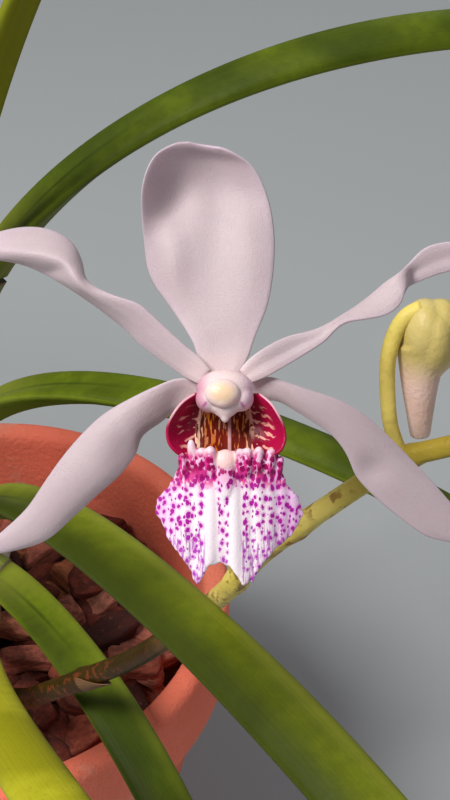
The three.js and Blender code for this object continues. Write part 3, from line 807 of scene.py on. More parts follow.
def shape_sheet(piece, surface, thickness, edge=1.0, levels=1):
    """Moves the grid onto surface(across, along), in millimetres, and gives it its thickness there,
    thinner by edge at its margins."""
    group = piece.vertex_groups.new(name="body")
    for vertex in piece.data.vertices:
        rim = min(1.0, (1 - abs(vertex.co.x)) * 2.5, (1 - vertex.co.y) * 3)
        group.add([vertex.index], edge + (1 - edge) * max(rim, 0.0), "REPLACE")
    kept = piece.data.attributes.new("blade", "FLOAT_VECTOR", "POINT")
    for vertex in piece.data.vertices:
        across, along = vertex.co.x, (vertex.co.y + 1) / 2
        kept.data[vertex.index].vector = (across, 0, along)
        vertex.co = surface(across, along) * MM
    only(piece)
    bpy.ops.object.mode_set(mode="EDIT")
    bpy.ops.mesh.select_all(action="SELECT")
    bpy.ops.mesh.remove_doubles(threshold=1e-6)
    bpy.ops.object.mode_set(mode="OBJECT")
    modify(piece, "SOLIDIFY", thickness=thickness * MM, offset=0, vertex_group="body")
    if levels:
        modify(piece, "SUBSURF", levels=levels, render_levels=levels)
    return piece


def spike_radius(along):
    return SPIKE_FOOT_RADIUS + (SPIKE_TIP_RADIUS - SPIKE_FOOT_RADIUS) * along ** 0.8


def spike_skin(along, angle):
    """The stalk swells a little above each node and has faint ribs."""
    swell = sum(0.4 * math.exp(-(((along - at) / 0.008) ** 2)) for at in SPIKE_NODES)
    return spike_radius(along) + swell + 0.05 * math.cos(5 * angle)


def make_bract(number, at, path, frames):
    """A dry triangular scale that clasps the spike at a node and lies along it."""
    length = 7 if number < 3 else 3
    hug = 1.8 if number < 3 else 1.1
    side, lift = frames[round(at * SPIKE_RINGS)]
    facing = math.atan2(lift.dot(Vector(BRACT_FACES[number])), side.dot(Vector(BRACT_FACES[number])))

    def surface(across, along):
        index = min(at * SPIKE_RINGS + along * length * SPIKE_RINGS / SPIKE_LENGTH, SPIKE_RINGS - 1)
        low = int(index)
        point = path[low].lerp(path[low + 1], index - low)
        side, lift = frames[low]
        angle = across * hug * (1 - 0.92 * along ** 1.3) + facing
        radius = spike_radius(at) + 0.3 + 0.3 * along ** 2
        return point + (side * math.cos(angle) + lift * math.sin(angle)) * radius

    return shape_sheet(add_grid(f"bract_{number + 1}", 16, 20), surface, 0.3, 0.6)


spike_path = smooth_path(SPIKE_ROUTE, SPIKE_RINGS)
spike_frames = path_frames(spike_path)
stalk_green = stalk_material("spike_skin", 0.7, 1.0)
papery = bract_material()
finish_piece(make_cord("spike_stalk", SPIKE_ROUTE, spike_skin, SPIKE_RINGS, 24), stalk_green, "spike",
             "spike")
for bract_number, bract_at in enumerate(SPIKE_NODES):
    finish_piece(make_bract(bract_number, bract_at, spike_path, spike_frames), papery, "spike", "spike")


# The sepals and petals are thick, waxy and faintly translucent, white flushed with lilac pink. Each
# blade runs between three rails: its two margins and its middle, as the flower's front shows them.
FLOWER_CENTRE = Vector((56, -104, 242.7))
FLOWER_FRAME = Matrix.Translation(FLOWER_CENTRE * MM) @ Matrix.Rotation(math.radians(50), 4, "X")
VIEW_DISTANCE = 139.5
BLADES = {
    "sepal_dorsal": dict(
        left=[(-1.2, 1.5, -2.3), (-2.6, 3.2, -2.4), (-3.4, 5.3, -2.8), (-5.5, 8.5, -4.2),
              (-7.6, 11.6, -5.3), (-8.2, 15.5, -4.4), (-8.4, 20.2, -1.2), (-7.3, 23.4, -0.6),
              (-5.3, 24.8, -1.0), (-3.6, 25.1, -1.6)],
        middle=[(0, 1.5, -2.4), (0, 3.4, -2.5), (-0.1, 5.6, -2.7), (-0.7, 9, -2.9), (-1.5, 12.5, -3.2),
                (-2.2, 16.5, -3.7), (-2.6, 20.5, -4.1), (-2.5, 23.2, -3.4), (-2.2, 24.4, -2.4),
                (-2.1, 24.7, -2.0)],
        right=[(1.2, 1.5, -2.3), (2.3, 3.4, -2.2), (3.1, 5.7, -2.2), (4.3, 8.7, -2.4), (4.9, 12.2, -2.9),
               (5.0, 15.8, -3.4), (4.4, 19.3, -3.4), (3.0, 22.4, -2.7), (1.0, 23.9, -2.1),
               (-0.5, 24.5, -1.9)]),
    "petal_left": dict(
        left=[(-1.4, 2.2, -0.9), (-2.7, 3.7, -0.9), (-3.9, 4.6, -0.9), (-6.5, 7.0, -0.9),
              (-8.5, 8.8, -0.7), (-10.5, 9.5, -0.9), (-12.5, 10.3, -1.4), (-13.9, 11.3, -2.4),
              (-14.3, 13.1, -4.0), (-15.2, 14.9, -4.6), (-17.1, 16.2, -4.9), (-19.6, 16.6, -5.1),
              (-22.2, 16.2, -5.3), (-25.0, 15.2, -5.6)],
        middle=[(-1.9, 1.5, -1.0), (-3.2, 2.5, -1.1), (-4.7, 3.5, -1.2), (-7.4, 5.8, -1.4),
                (-9.2, 7.5, -1.5), (-11.3, 8.7, -1.6), (-13.2, 9.8, -1.4), (-14.5, 10.8, -1.0),
                (-15.3, 12.0, -1.0), (-16.3, 13.1, -1.5), (-18.0, 13.7, -2.2), (-20.2, 14.0, -3.0),
                (-22.5, 14.2, -4.0), (-25.6, 14.6, -5.6)],
        right=[(-2.2, 0.7, -0.9), (-3.5, 1.2, -1.2), (-5.3, 2.4, -1.7), (-8.2, 4.5, -2.4),
               (-10.0, 6.3, -3.1), (-12.0, 7.9, -3.2), (-13.9, 9.3, -3.3), (-15.4, 10.3, -3.5),
               (-16.9, 11.2, -3.8), (-18.4, 12.0, -4.1), (-20.0, 12.7, -4.5), (-21.7, 13.1, -4.8),
               (-23.4, 13.4, -5.1), (-25.0, 14.1, -5.6)]),
    "petal_right": dict(
        left=[(1.4, 2.2, -0.9), (2.5, 3.45, -0.9), (4.5, 4.8, -1.0), (6.5, 5.7, -1.3), (8.7, 6.2, -1.8),
              (10.5, 7.0, -2.4), (11.8, 7.8, -3.0), (13.2, 8.7, -3.5), (14.7, 9.9, -3.8),
              (16.1, 11.1, -3.6), (17.4, 12.0, -3.4), (18.4, 12.9, -5.0), (20.0, 14.5, -5.0),
              (22.5, 15.1, -5.0), (25.0, 14.7, -5.4)],
        middle=[(1.9, 1.5, -1.0), (3.2, 2.5, -1.1), (5.2, 3.6, -1.3), (7.3, 4.65, -1.5), (9.3, 5.5, -1.7),
                (10.8, 6.6, -2.0), (12.0, 7.4, -2.3), (13.7, 8.1, -2.4), (15.6, 9.0, -2.7),
                (17.0, 10.1, -2.9), (17.9, 11.2, -3.3), (18.5, 11.8, -5.6), (20.5, 12.9, -5.6),
                (22.6, 13.6, -5.5), (25.4, 14.2, -5.4)],
        right=[(2.3, 0.8, -0.9), (4.1, 1.5, -0.9), (5.9, 2.5, -1.0), (8.2, 3.9, -1.1), (10.0, 5.1, -1.3),
               (11.2, 6.4, -1.5), (12.3, 7.05, -1.6), (14.1, 7.3, -1.7), (16.1, 7.7, -2.0),
               (17.5, 8.7, -2.4), (18.05, 10.1, -3.0), (18.6, 10.7, -5.6), (21.0, 11.7, -5.6),
               (22.9, 12.3, -5.5), (25.0, 13.6, -5.4)]),
    "sepal_left": dict(
        left=[(-1.6, 0.8, -2.3), (-4.4, 1.45, -1.7), (-7.0, 0.6, -1.8), (-9.7, -0.7, -2.3),
              (-12.1, -2.1, -2.8), (-14.1, -3.9, -3.2), (-16.1, -6.2, -3.6), (-17.9, -8.7, -4.0),
              (-19.8, -11.5, -4.6), (-22.1, -13.7, -5.4), (-24.4, -15.6, -6.2)],
        middle=[(-1.6, -0.2, -2.4), (-4.6, -0.1, -2.6), (-6.7, -1.2, -2.4), (-8.9, -2.6, -2.2),
                (-10.5, -4.2, -2.2), (-12.4, -6.4, -2.5), (-14.6, -8.7, -2.9), (-16.7, -11.0, -3.5),
                (-18.8, -13.2, -4.3), (-21.3, -14.9, -5.2), (-24.6, -16.0, -6.2)],
        right=[(-1.6, -1.2, -2.3), (-4.8, -1.8, -3.4), (-6.4, -3.0, -3.6), (-8.3, -4.4, -3.4),
               (-8.9, -6.2, -3.4), (-10.5, -8.3, -3.6), (-12.9, -10.4, -3.9), (-15.3, -12.6, -4.4),
               (-17.7, -14.7, -5.0), (-20.6, -15.7, -5.6), (-24.2, -16.3, -6.2)]),
    "sepal_right": dict(
        left=[(1.6, 0.9, -2.3), (4.3, 1.6, -1.9), (6.5, 0.9, -2.2), (8.9, 0.1, -2.7), (11.3, -0.7, -3.3),
              (13.7, -2.0, -4.0), (15.9, -3.9, -4.8), (18.0, -6.0, -5.7), (20.3, -8.4, -6.6),
              (22.6, -11.0, -7.4), (24.4, -13.2, -8.0), (25.2, -14.7, -8.3)],
        middle=[(1.6, -0.1, -2.4), (4.6, 0.4, -2.2), (6.7, -0.3, -2.2), (8.8, -1.3, -2.4),
                (11.1, -2.5, -2.9), (13.0, -4.0, -3.5), (14.9, -6.1, -4.3), (16.9, -8.2, -5.2),
                (19.0, -10.4, -6.1), (21.3, -12.6, -7.0), (23.5, -14.2, -7.8), (25.0, -15.1, -8.3)],
        right=[(1.6, -1.1, -2.3), (4.9, -0.8, -2.8), (6.8, -1.7, -3.0), (8.7, -2.9, -3.2),
               (10.8, -4.4, -3.6), (12.2, -6.3, -4.2), (13.1, -8.4, -4.8), (14.9, -10.4, -5.6),
               (17.3, -12.4, -6.4), (20.0, -14.3, -7.2), (22.6, -15.0, -7.8), (24.7, -15.4, -8.3)]),
}
# Hollows and swellings of the blades: place, half widths and height, in millimetres
BLADE_SWELLS = {
    "sepal_dorsal": [(-5.3, 19.4, 2.1, 3.0, -1.4), (-5.4, 12.6, 1.5, 4.0, 1.0),
                     (-0.9, 15.5, 1.9, 7.0, -0.55), (2.9, 14.5, 2.2, 6.0, 0.4)],
    "petal_left": [(-16.9, 12.2, 1.5, 0.7, -0.6)],
    "sepal_left": [(-10.2, -6.0, 1.6, 1.8, -0.4)],
    "sepal_right": [(14.6, -7.6, 1.6, 1.4, -0.5)],
}


def seen(x, y, z):
    """A point drawn where the flower's front view shows it lies further out the deeper it is."""
    spread = 1 - z / VIEW_DISTANCE
    return Vector((x * spread, y * spread, z))


def rail(points, along):
    """A point on the smooth curve through the rail's points, from its first, 0, to its last, 1."""
    place = min(along, 0.99999) * (len(points) - 1)
    low = int(place)
    b, c = Vector(points[low]), Vector(points[low + 1])
    a = Vector(points[low - 1]) if low else 2 * b - c
    d = Vector(points[low + 2]) if low + 2 < len(points) else 2 * c - b
    return curve_point(a, b, c, d, place - low)


def keep_local(piece):
    """Keeps each vertex's place in the flower's own frame, in millimetres, for the markings."""
    kept = piece.data.attributes.new("local", "FLOAT_VECTOR", "POINT")
    for vertex in piece.data.vertices:
        kept.data[vertex.index].vector = vertex.co / MM
    piece.data.transform(FLOWER_FRAME)


def petal_material():
    made, tree = new_material("petal_wax", 0.5)
    local = attribute(tree, "local")
    blade = attribute(tree, "blade")
    across, _, along = axes(blade)
    veins = grain(blade, 1.0, 2, 0.5, stretch=(9, 0, 0.7))
    cloud = grain(local, 0.22, 3)
    cells = grain(local, 6.0, 3, 0.65)
    near = node(tree, "ShaderNodeVectorMath", {"operation": "LENGTH"}, Vector=local).outputs["Value"]
    white = blend(cloud, srgb(190, 171, 177), srgb(204, 187, 191))
    white = tint(white, srgb(194, 172, 182), step(veins, 0.5, 0.75), 0.09)
    margin = step(calc("ABSOLUTE", across), 0.7, 1.0)
    white = tint(white, srgb(208, 184, 200), margin, 0.3)
    tip = step(along, 0.75, 1.0)
    white = tint(white, srgb(226, 198, 218), tip, 0.5)
    white = tint(white, srgb(224, 202, 203), step(near, 6.5, 3.0), 0.8)
    white = tint(white, srgb(176, 152, 164), step(cells, 0.6, 0.35), 0.14)
    return dress(made, white, plus(cells, times(veins, 0.3)), 0.00006, Subsurface_Weight=0.35,
                 Subsurface_Radius=(1.0, 0.7, 0.75), Subsurface_Scale=0.0012, Sheen_Weight=0.12,
                 Sheen_Roughness=0.4)


def make_blade(name, rails):
    sharpness = 1.25 if name.startswith("petal") else 1.9

    def surface(across, along):
        near_tip = 1 - (1 - along) ** 1.35
        left, middle, right = (rail(rails[key], near_tip) for key in ("left", "middle", "right"))
        edges = left.lerp(right, (across + 1) / 2)
        bulge = middle - (left + right) / 2
        point = edges + bulge * (1 - abs(across) ** sharpness)
        for x, y, wide, high, height in BLADE_SWELLS.get(name, []):
            point.z += height * math.exp(-((point.x - x) / wide) ** 2 - ((point.y - y) / high) ** 2)
        return seen(*point)

    piece = shape_sheet(add_grid(name + "_blade", 44, 14), surface, 0.55, 0.4)
    keep_local(piece)
    return piece


petal_wax = petal_material()
for blade_name, blade_rails in BLADES.items():
    finish_piece(make_blade(blade_name, blade_rails), petal_wax, "sepal", blade_name)


# The lip is one fleshy piece. Its midlobe hangs like a pleated kilt, white with purple spots, with a
# row of finger-like calli along its top. Two crimson side lobes stand beside the golden throat, and
# a hollow spur runs back from it.
MIDLOBE_TOP = -5.9
MIDLOBE_LEFT = [(-4.3, -6.0), (-4.6, -7.2), (-5.2, -8.8), (-6.1, -9.9), (-6.8, -11.0), (-6.9, -11.8),
                (-6.4, -13.3), (-5.8, -14.8), (-5.1, -16.2), (-3.8, -17.4), (-3.3, -18.0)]
MIDLOBE_RIGHT = [(5.2, -5.8), (5.5, -7.0), (5.8, -8.4), (6.5, -9.6), (7.4, -10.7), (7.8, -11.9),
                 (7.5, -13.3), (6.9, -14.4), (6.0, -15.4), (5.0, -16.6), (3.2, -18.1)]
MIDLOBE_HEM = [(-3.3, -18.0), (-3.15, -18.8), (-2.65, -19.2), (-2.35, -18.6), (-2.0, -17.8),
               (-1.2, -17.25), (-0.2, -17.15), (0.6, -17.6), (1.3, -18.6), (1.95, -19.4), (2.4, -18.8),
               (2.8, -19.0), (3.2, -18.1)]
# The round central callus and the fingers beside it: place, radius and the length of the fingers
KNOB = (0.05, -6.85, 1.14)
CALLI = [(-4.1, -5.9, 0.45, 3.0), (-3.15, -4.6, 0.5, 3.8), (-2.15, -5.4, 0.7, 3.4),
         (-1.35, -5.25, 0.66, 3.4), (1.4, -5.5, 0.62, 3.3), (2.1, -5.4, 0.66, 3.3), (3.2, -5.3, 0.6, 3.0),
         (4.4, -5.5, 0.62, 3.0), (5.3, -6.25, 0.42, 2.8)]
LOBE_LEFT = [(-3.0, -0.1, 2.0), (-4.3, -1.0, 2.7), (-5.3, -2.3, 3.1), (-5.85, -3.6, 3.2),
             (-5.75, -5.0, 3.1), (-5.1, -5.9, 2.9), (-4.3, -6.4, 2.7)]
LOBE_RIGHT = [(3.4, -0.1, 2.0), (4.6, -1.1, 2.7), (5.4, -2.3, 3.1), (5.95, -3.5, 3.2), (6.1, -4.8, 3.1),
              (5.7, -5.8, 2.9), (5.0, -6.4, 2.7)]
SPUR_ROUTE = [(0, -3.4, -2.6), (0, -5.9, -4.2), (0, -9.5, -5.6), (0, -13.2, -6.5)]


def add_ball(name, centre, radii, segments=40):
    bpy.ops.object.select_all(action="DESELECT")
    bpy.ops.mesh.primitive_uv_sphere_add(segments=segments, ring_count=segments // 2, radius=MM,
                                         location=[value * MM for value in centre])
    ball = bpy.context.object
    ball.name = name
    ball.scale = radii
    bpy.ops.object.transform_apply(location=True, rotation=False, scale=True)
    return ball


def melt(name, balls, voxel, rounds=12):
    """Joins overlapping lumps into one smooth fleshy body."""
    body = join(balls, name)
    modify(body, "REMESH", mode="VOXEL", voxel_size=voxel * MM)
    modify(body, "SMOOTH", factor=0.5, iterations=rounds)
    return body


def midlobe_depth(x, y):
    """How far the midlobe stands forward: two broad pleats that open downwards, margins that fold back."""
    down = max(0.0, min(1.0, (MIDLOBE_TOP - y) / 11.5))
    off = x + 0.15
    pleats = 0.0
    for ridge, height, width in ((-1.35, 0.42, 0.85), (1.15, 0.42, 0.9), (-4.1, 0.35, 1.0),
                                 (4.1, 0.35, 1.0)):
        pleats += height * math.exp(-(((off - ridge * (0.75 + 0.35 * down)) / width) ** 2))
    fine = 0.07 * math.cos(off * 5.2 + 1.0) * (1 - 0.4 * down)
    return 2.5 + 1.0 * down - 1.1 * down * down + pleats * (0.45 + 0.55 * down) + fine - 0.03 * off * off


def make_midlobe():
    def surface(across, along):
        left = rail([(*point, 0) for point in MIDLOBE_LEFT], along)
        right = rail([(*point, 0) for point in MIDLOBE_RIGHT], along)
        share = (across + 1) / 2
        flat = left.lerp(right, share)
        hem = rail([(*point, 0) for point in MIDLOBE_HEM], share)
        flat.y += (hem.y - rail([(*MIDLOBE_LEFT[-1], 0), (*MIDLOBE_RIGHT[-1], 0)], share).y) * along ** 2.2
        flat.x += (hem.x - flat.x) * along ** 6
        ragged = 0.09 * math.sin(37 * along + 1.0) + 0.07 * math.sin(83 * along + 2.0)
        flat.x += ragged * across ** 5 * (1 - along ** 4)
        flat.y += 0.09 * math.sin(33 * across + 3) * along ** 10
        return seen(flat.x, flat.y, midlobe_depth(flat.x, flat.y))

    piece = shape_sheet(add_grid("lip_midlobe", 56, 72), surface, 0.62, 0.55, levels=0)
    lumps = [piece]
    for x, y, radius, length in CALLI:
        lump = add_ball("callus", (0, 0, 0), (radius, length / 2, radius * 1.15), 24)
        middle = y - length / 2
        for vertex in lump.data.vertices:
            share = vertex.co.y / (length / 2 * MM)
            up = math.copysign(abs(share) ** 0.6, share) * length / 2
            vertex.co.y = up * MM
            vertex.co += MM * Vector((x * (1 + 0.03 * up), middle,
                                      midlobe_depth(x, middle) + 0.2 + 0.2 * up))
        lumps.append(lump)
    x, y, radius = KNOB
    lumps.append(add_ball("knob", (x, y, midlobe_depth(x, y) + 0.2), (radius, 1.1 * radius, 0.75 * radius),
                          32))
    lumps.append(add_ball("keel", (x, y - 1.6, midlobe_depth(x, y - 1.6) + 0.15), (1.0, 2.5, 0.75), 24))
    body = melt("lip_midlobe", lumps, 0.12, 4)
    relief = body.data.attributes.new("relief", "FLOAT", "POINT")
    for vertex in body.data.vertices:
        x, y, z = vertex.co / MM
        spread = 1 - z / VIEW_DISTANCE
        relief.data[vertex.index].value = z - midlobe_depth(x / spread, y / spread)
    keep_local(body)
    return body


def spots(where, scale, size, ragged):
    """Round spots of uneven size: 1 inside a spot and 0 between them."""
    tree = tree_of(where)
    wobble = node(tree, "ShaderNodeTexNoise", Vector=where, Scale=2.3, Detail=2.0)
    shaken = node(tree, "ShaderNodeVectorMath", {"operation": "MULTIPLY_ADD"})
    wire(wobble.outputs["Color"], shaken.inputs[0])
    shaken.inputs[1].default_value = (ragged, ragged, ragged)
    wire(where, shaken.inputs[2])
    cells = node(tree, "ShaderNodeTexVoronoi", {"voronoi_dimensions": "2D"}, Vector=shaken.outputs[0],
                 Scale=scale, Randomness=0.8)
    random_size = node(tree, "ShaderNodeSeparateColor", Color=cells.outputs["Color"]).outputs["Red"]
    reach = times(size, plus(0.65, times(random_size, 0.55)))
    inside = minus(reach, cells.outputs["Distance"])
    return step(inside, -0.02, 0.05)


def midlobe_material():
    made, tree = new_material("spotted_lip", 0.42)
    local = attribute(tree, "local")
    x, y, _ = axes(local)
    off = plus(x, 0.15)
    side = calc("ABSOLUTE", off)
    top = step(y, -10.2, -7.2)
    low = step(y, -13.2, -16.0)
    rim = step(side, 3.6, 6.6)
    cloud = grain(local, 0.55, 2)
    band = calc("ABSOLUTE", minus(side, 1.2))
    clear = times(step(band, 0.75, 0.45), step(y, -8.6, -10.0))
    size = plus(0.285, times(top, 0.07))
    size = plus(size, times(minus(cloud, 0.5), 0.16))
    size = minus(size, times(clear, 0.5))
    size = minus(size, times(low, 0.05))
    flat = node(tree, "ShaderNodeMapping", Vector=local, Location=(0.55, 0, 0),
                Scale=(1.12, 0.9, 0)).outputs["Vector"]
    large = spots(flat, 1.28, size, 0.36)
    thin = node(tree, "ShaderNodeMapping", Vector=local, Location=(3.1, 1.7, 0),
                Scale=(1.25, 0.75, 0)).outputs["Vector"]
    small = spots(thin, 1.3, minus(size, 0.12), 0.3)
    streak = grain(local, 1.0, 3, 0.6, stretch=(4.2, 0.45, 0))
    fringe = times(step(y, -12.4, -14.4), step(side, 1.4, 2.1))
    streaks = times(step(streak, 0.5, 0.57), fringe)
    flush = grain(local, 1.0, 2, 0.55, stretch=(1.9, 0.8, 0))
    flushes = times(step(flush, 0.45, 0.52), step(y, -9.8, -8.6))
    raised = attribute(tree, "relief", "Fac")
    # Crimson in the hollows between the calli near the top, deepened there with painted shade
    crimson_gaps_painted_shade = times(step(raised, 0.62, 0.38), step(y, -8.6, -7.2))
    body = blend(rim, srgb(255, 238, 246), srgb(244, 200, 238))
    halo = times(spots(flat, 1.28, plus(size, 0.2), 0.36), 0.5)
    body = tint(body, srgb(226, 128, 214), halo)
    body = tint(body, srgb(242, 168, 214), step(y, -10.2, -8.4), 0.55)
    ridge = times(step(calc("ABSOLUTE", minus(x, 0.1)), 1.1, 0.7), 0.8)
    flushes = times(flushes, minus(1.0, ridge))
    body = tint(body, srgb(218, 4, 138), flushes, 0.92)
    body = tint(body, srgb(156, 4, 72), crimson_gaps_painted_shade, 0.85)
    purple = blend(top, srgb(178, 20, 162), srgb(160, 2, 88))
    purple = tint(purple, srgb(184, 70, 190), low)
    crown = times(step(y, -6.5, -5.6), step(raised, 0.5, 0.75))
    body = tint(body, srgb(248, 220, 226), crown, 0.8)
    marks = times(calc("MAXIMUM", large, small), minus(1.0, crown))
    knob = knob_distance(x, y)
    pale = step(knob, 1.35, 0.85)
    marks = times(marks, minus(1.0, pale))
    body = tint(body, srgb(252, 208, 206), pale)
    body = tint(body, srgb(170, 66, 180), streaks, 0.75)
    colour = blend(marks, body, purple)
    return dress(made, colour, grain(local, 5.0, 2), 0.00005, Specular_IOR_Level=0.25,
                 Subsurface_Weight=0.2, Subsurface_Radius=(1.0, 0.6, 0.8), Subsurface_Scale=0.0005)


def knob_distance(x, y):
    """Distance from the middle of the round central callus, in millimetres."""
    wide = minus(x, KNOB[0])
    high = minus(y, KNOB[1] + 0.45)
    square = plus(times(wide, wide), times(high, high))
    return calc("SQRT", square)


def side_lobe_material():
    made, tree = new_material("crimson_lobe", 0.38)
    local = attribute(tree, "local")
    blade = attribute(tree, "blade")
    across = axes(blade)[0]
    x, y, _ = axes(local)
    slant = plus(y, times(calc("ABSOLUTE", x), 0.35))
    slant = plus(slant, times(grain(local, 1.0, 1), 0.9))
    lines = step(calc("SINE", times(slant, 8.4)), 0.15, 0.55)
    lines = times(lines, step(grain(local, 1.0, 1, 0.5, stretch=(1.3, 1.9, 0.4)), 0.44, 0.5))
    middle = times(step(calc("ABSOLUTE", plus(across, 0.2)), 0.8, 0.55), step(y, -1.0, -1.9))
    red = blend(step(across, -0.9, 0.6), srgb(104, 4, 18), srgb(172, 6, 64))
    red = tint(red, srgb(150, 4, 60), grain(local, 1.3, 3), 0.5)
    red = tint(red, srgb(240, 176, 158), lines, middle, 0.85)
    flesh = times(step(across, -0.72, -0.84), step(y, -5.0, -3.4))
    red = tint(red, srgb(232, 186, 160), flesh, 0.85)
    dots = times(step(grain(local, 2.6, 1), 0.58, 0.64), flesh)
    red = tint(red, srgb(140, 14, 30), dots)
    rim = times(step(across, 0.97, 0.995), step(y, -3.6, -2.0))
    red = tint(red, srgb(244, 206, 216), rim, 0.7)
    return dress(made, red, grain(local, 4.0, 2), 0.00005, Specular_IOR_Level=0.22, Subsurface_Weight=0.12,
                 Subsurface_Scale=0.0005)


def make_side_lobe(name, mirror, outline):
    """An ear from the throat's wall out to its rounded outline, opening towards the front."""
    inner = [(mirror * 2.1, -0.2, 0.9), (mirror * 2.3, -1.6, 0.5), (mirror * 2.45, -3.2, 0.3),
             (mirror * 2.6, -4.8, 0.8), (mirror * 3.0, -6.1, 2.0)]

    def surface(across, along):
        share = (across + 1) / 2
        near, far = rail(inner, along), rail(outline, along)
        point = near.lerp(far, share)
        hollow = -0.9 * math.sin(math.pi * share) * math.sin(math.pi * along)
        point.z += hollow + 0.25 * math.sin(9 * along) * share ** 3
        return seen(*point)

    piece = shape_sheet(add_grid(name, 30, 20), surface, 0.5, 0.6)
    keep_local(piece)
    return piece


def throat_material():
    made, tree = new_material("golden_throat", 0.4)
    local = attribute(tree, "local")
    x, y, _ = axes(local)
    middle = calc("ABSOLUTE", minus(x, 0.45))
    stripes = grain(local, 1.0, 2, 0.5, stretch=(3.4, 0.75, 0.3))
    cloud = grain(local, 0.8, 2)
    low = step(y, -2.4, -4.6)
    gold = blend(step(cloud, 0.42, 0.58), srgb(222, 168, 126), srgb(222, 138, 46))
    gold = tint(gold, srgb(184, 84, 30), low, 0.7)
    gold = tint(gold, srgb(238, 190, 160), step(calc("ABSOLUTE", x), 1.9, 2.5))
    crowd = plus(low, step(middle, 1.6, 0.4))
    edge = minus(0.495, times(crowd, 0.055))
    dark = step(minus(stripes, edge), -0.02, 0.025)
    gold = tint(gold, srgb(98, 5, 10), dark, 0.95)
    keel = times(step(middle, 0.22, 0.1), step(y, -1.6, -2.6))
    gold = tint(gold, srgb(206, 156, 160), keel, 0.85)
    return dress(made, gold, stripes, 0.00006, Specular_IOR_Level=0.25, Subsurface_Weight=0.15,
                 Subsurface_Scale=0.0006)


def make_throat():
    def surface(across, along):
        x = 0.25 + 3.3 * across
        y = -1.3 - 5.0 * along
        hollow = 2.1 * (1 - across * across) * (1 - along) ** 0.8
        keel = 0.35 * math.exp(-(((x - 0.45) / 0.22) ** 2)) * along ** 0.5
        return seen(x, y, 0.35 + 1.5 * along ** 2.5 - hollow + keel)

    piece = shape_sheet(add_grid("lip_throat", 30, 30), surface, 0.5, 0.8)
    keep_local(piece)
    return piece


def spur_radius(along, angle):
    return 1.7 - 0.9 * along ** 1.5 - 3.0 * max(0.0, along - 0.9)


crimson = side_lobe_material()
finish_piece(make_midlobe(), midlobe_material(), "lip", "lip")
finish_piece(make_side_lobe("lip_side_left", -1, LOBE_LEFT), crimson, "lip", "lip")
finish_piece(make_side_lobe("lip_side_right", 1, LOBE_RIGHT), crimson, "lip", "lip")
finish_piece(make_throat(), throat_material(), "lip", "lip")
spur = make_cord("lip_spur", SPUR_ROUTE, spur_radius, 40)
keep_local(spur)
finish_piece(spur, petal_wax, "lip", "lip")


# The column is the short fleshy post over the throat, white flushed with lilac, and the anther cap
# is a loose cream dome seated in its end, over a small beak.
CAP_CENTRE = (-0.25, -0.1, 4.1)


def column_material():
    made, tree = new_material("column_wax", 0.4)
    local = attribute(tree, "local")
    x, y, _ = axes(local)
    side = step(calc("ABSOLUTE", x), 1.1, 2.9)
    # The lilac flanks: the left one is painted darker, painted shade, and the right one lighter, painted
    # light
    lilac_flank_painted_light = blend(step(x, -0.6, 0.6), srgb(212, 148, 172), srgb(246, 202, 224))
    wax = blend(side, srgb(240, 214, 214), lilac_flank_painted_light)
    off = minus(calc("ABSOLUTE", plus(x, 0.15)), 1.85)
    up = plus(y, 1.25)
    cross = plus(times(off, 0.8), times(up, 0.6))
    length = minus(times(up, 0.8), times(off, 0.6))
    far = plus(times(cross, cross, 9.0), times(length, length, 1.6))
    far = plus(far, times(grain(local, 1.6, 2), 0.3))
    wax = tint(wax, srgb(186, 74, 160), step(far, 0.6, 0.15), 0.75)
    return dress(made, wax, grain(local, 3.5, 3), 0.00005, Subsurface_Weight=0.35,
                 Subsurface_Radius=(1.0, 0.6, 0.8), Subsurface_Scale=0.001)


def cap_material():
    made, tree = new_material("anther_cream", 0.35)
    local = attribute(tree, "local")
    x, y, _ = axes(local)
    wide = minus(x, CAP_CENTRE[0])
    high = times(minus(y, CAP_CENTRE[1]), 1.25)
    out = calc("SQRT", plus(times(wide, wide), times(high, high)))
    cream = blend(step(out, 0.5, 1.75), srgb(250, 214, 178), srgb(246, 216, 214))
    return dress(made, cream, grain(local, 3.0, 3), 0.00005, Subsurface_Weight=0.4,
                 Subsurface_Radius=(1.0, 0.7, 0.4), Subsurface_Scale=0.001)


def make_column():
    balls = [
        add_ball("hood", (0, 0.3, 1.9), (2.85, 1.95, 2.6)),
        add_ball("neck", (0, 0.2, -0.8), (1.6, 1.5, 2.9)),
        add_ball("left_cheek", (-1.55, -0.7, 2.3), (1.35, 1.35, 1.9)),
        add_ball("right_cheek", (1.5, -0.6, 2.3), (1.35, 1.35, 1.9)),
        add_ball("chin", (-0.05, -1.35, 2.8), (1.8, 0.9, 1.4)),
        add_ball("lower_chin", (0, -1.75, 3.0), (1.15, 0.8, 1.0)),
        add_ball("beak", (0, -2.35, 3.1), (0.5, 0.7, 0.6), 24),
    ]
    body = melt("column_body", balls, 0.12, 18)
    keep_local(body)
    return body


def make_cap():
    balls = [add_ball("dome", CAP_CENTRE, (1.75, 1.4, 1.05)),
             add_ball("brow", (-0.2, -0.7, 4.2), (1.15, 0.85, 0.8))]
    body = melt("anther_dome", balls, 0.1)
    keep_local(body)
    return body


finish_piece(make_column(), column_material(), "sepal", "column")
finish_piece(make_cap(), cap_material(), "cap", "anther_cap")


# Behind the flower a thin stalk leaves the spike and thickens into the ribbed ovary, which turns
# half round on its way to the flower.
STALK_AT = 0.73
flower_back = FLOWER_FRAME @ Vector((0, 0.2 * MM, -3.4 * MM)) / MM
flower_inward = (FLOWER_FRAME.to_3x3() @ Vector((0, 0, -1))).normalized()
stalk_start = spike_path[round(STALK_AT * SPIKE_RINGS)]
STALK_ROUTE = [stalk_start, stalk_start.lerp(flower_back, 0.3) + Vector((-1, 2, 5)),
               flower_back + flower_inward * 9, flower_back]


def ovary_radius(along, angle):
    swell = max(0.0, min(1.0, (along - 0.45) / 0.4))
    swell = swell * swell * (3 - 2 * swell)
    return 0.95 + 0.5 * swell + 0.13 * swell * math.cos(6 * angle + 5 * along)


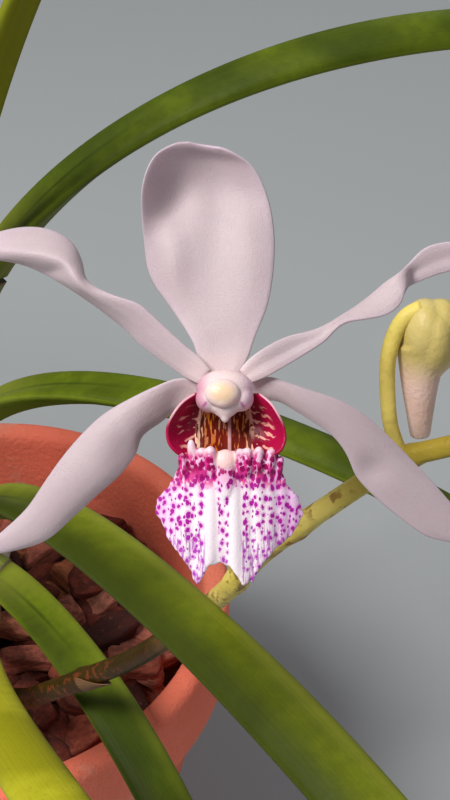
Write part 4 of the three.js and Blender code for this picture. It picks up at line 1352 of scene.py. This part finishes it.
pale_green = stalk_material("young_stalk", 0.12)
finish_piece(make_cord("flower_stalk_cord", STALK_ROUTE, ovary_radius, 70, 30), pale_green, "spike",
             "flower_stalk")


# The bud hangs beside the flower on its own short stalk, which curls over at the top. It is closed,
# pale yellow-green, with the pinkish spur of its lip hanging down.
BUD_AT = 0.925
bud_start = spike_path[round(BUD_AT * SPIKE_RINGS)]
BUD_ROUTE = [bud_start, (75.3, -89.2, 225.2), (74.8, -87, 228.9), (74.75, -85.5, 232.2),
             (75.4, -84.1, 234.6), (76.6, -83.3, 236.6), (78.4, -82.8, 237.6)]
BUD_CENTRE = (79.9, -83, 233.9)


def bud_material():
    made, tree = new_material("bud_skin", 0.5)
    place = object_place(tree)
    low = step(axes(place)[2], 0.2335, 0.2285)
    cloud = grain(place, 240, 4)
    skin = blend(cloud, srgb(190, 170, 84), srgb(220, 200, 134))
    pink = blend(cloud, srgb(240, 198, 186), srgb(250, 222, 212))
    return dress(made, blend(low, skin, pink), grain(place, 1800, 2), 0.0001, Subsurface_Weight=0.3,
                 Subsurface_Radius=(1.0, 0.9, 0.5), Subsurface_Scale=0.0015)


def make_bud():
    x, y, z = BUD_CENTRE
    balls = [
        add_ball("bud_left", (x - 0.9, y, z + 0.3), (2.8, 3.6, 4.2)),
        add_ball("bud_right", (x + 0.9, y + 0.3, z - 0.4), (2.8, 3.5, 4.8)),
        add_ball("bud_front", (x + 0.2, y - 1.2, z - 0.6), (2.4, 2.8, 4.4)),
    ]
    route = [(x - 1.0, y - 0.4, z - 1), (x - 1.1, y - 1.9, z - 5), (x - 0.9, y - 3.2, z - 9),
             (x - 0.7, y - 4.1, z - 12)]
    balls.append(make_cord("bud_spur", route, lambda along, angle: 3.3 - 2.1 * along ** 0.75, 30))
    return melt("closed_bud", balls, 0.2)


finish_piece(make_cord("bud_stalk_cord", BUD_ROUTE, lambda along, angle: 0.85 + 0.15 * along, 50, 20),
             pale_green, "spike", "bud_stalk")
finish_piece(make_bud(), bud_material(), "bud", "bud")


# Three small green buds close the tip of the spike.
tip_end = spike_path[-1]
for tip_number, (dx, dy, dz, size) in enumerate([(0, 0, 0, 1.9), (-2.2, 1, 2.8, 1.6),
                                                 (1.4, -0.5, 2.6, 1.3)]):
    tip = add_ball(f"tip_bud_{tip_number + 1}", (tip_end.x + dx, tip_end.y + dy, tip_end.z + dz),
                   (size, size, size * 1.25), 28)
    kept = tip.data.attributes.new("blade", "FLOAT_VECTOR", "POINT")
    for vertex in tip.data.vertices:
        kept.data[vertex.index].vector = (0, 0, 0.9)
    finish_piece(tip, pale_green, "spike", "spike")
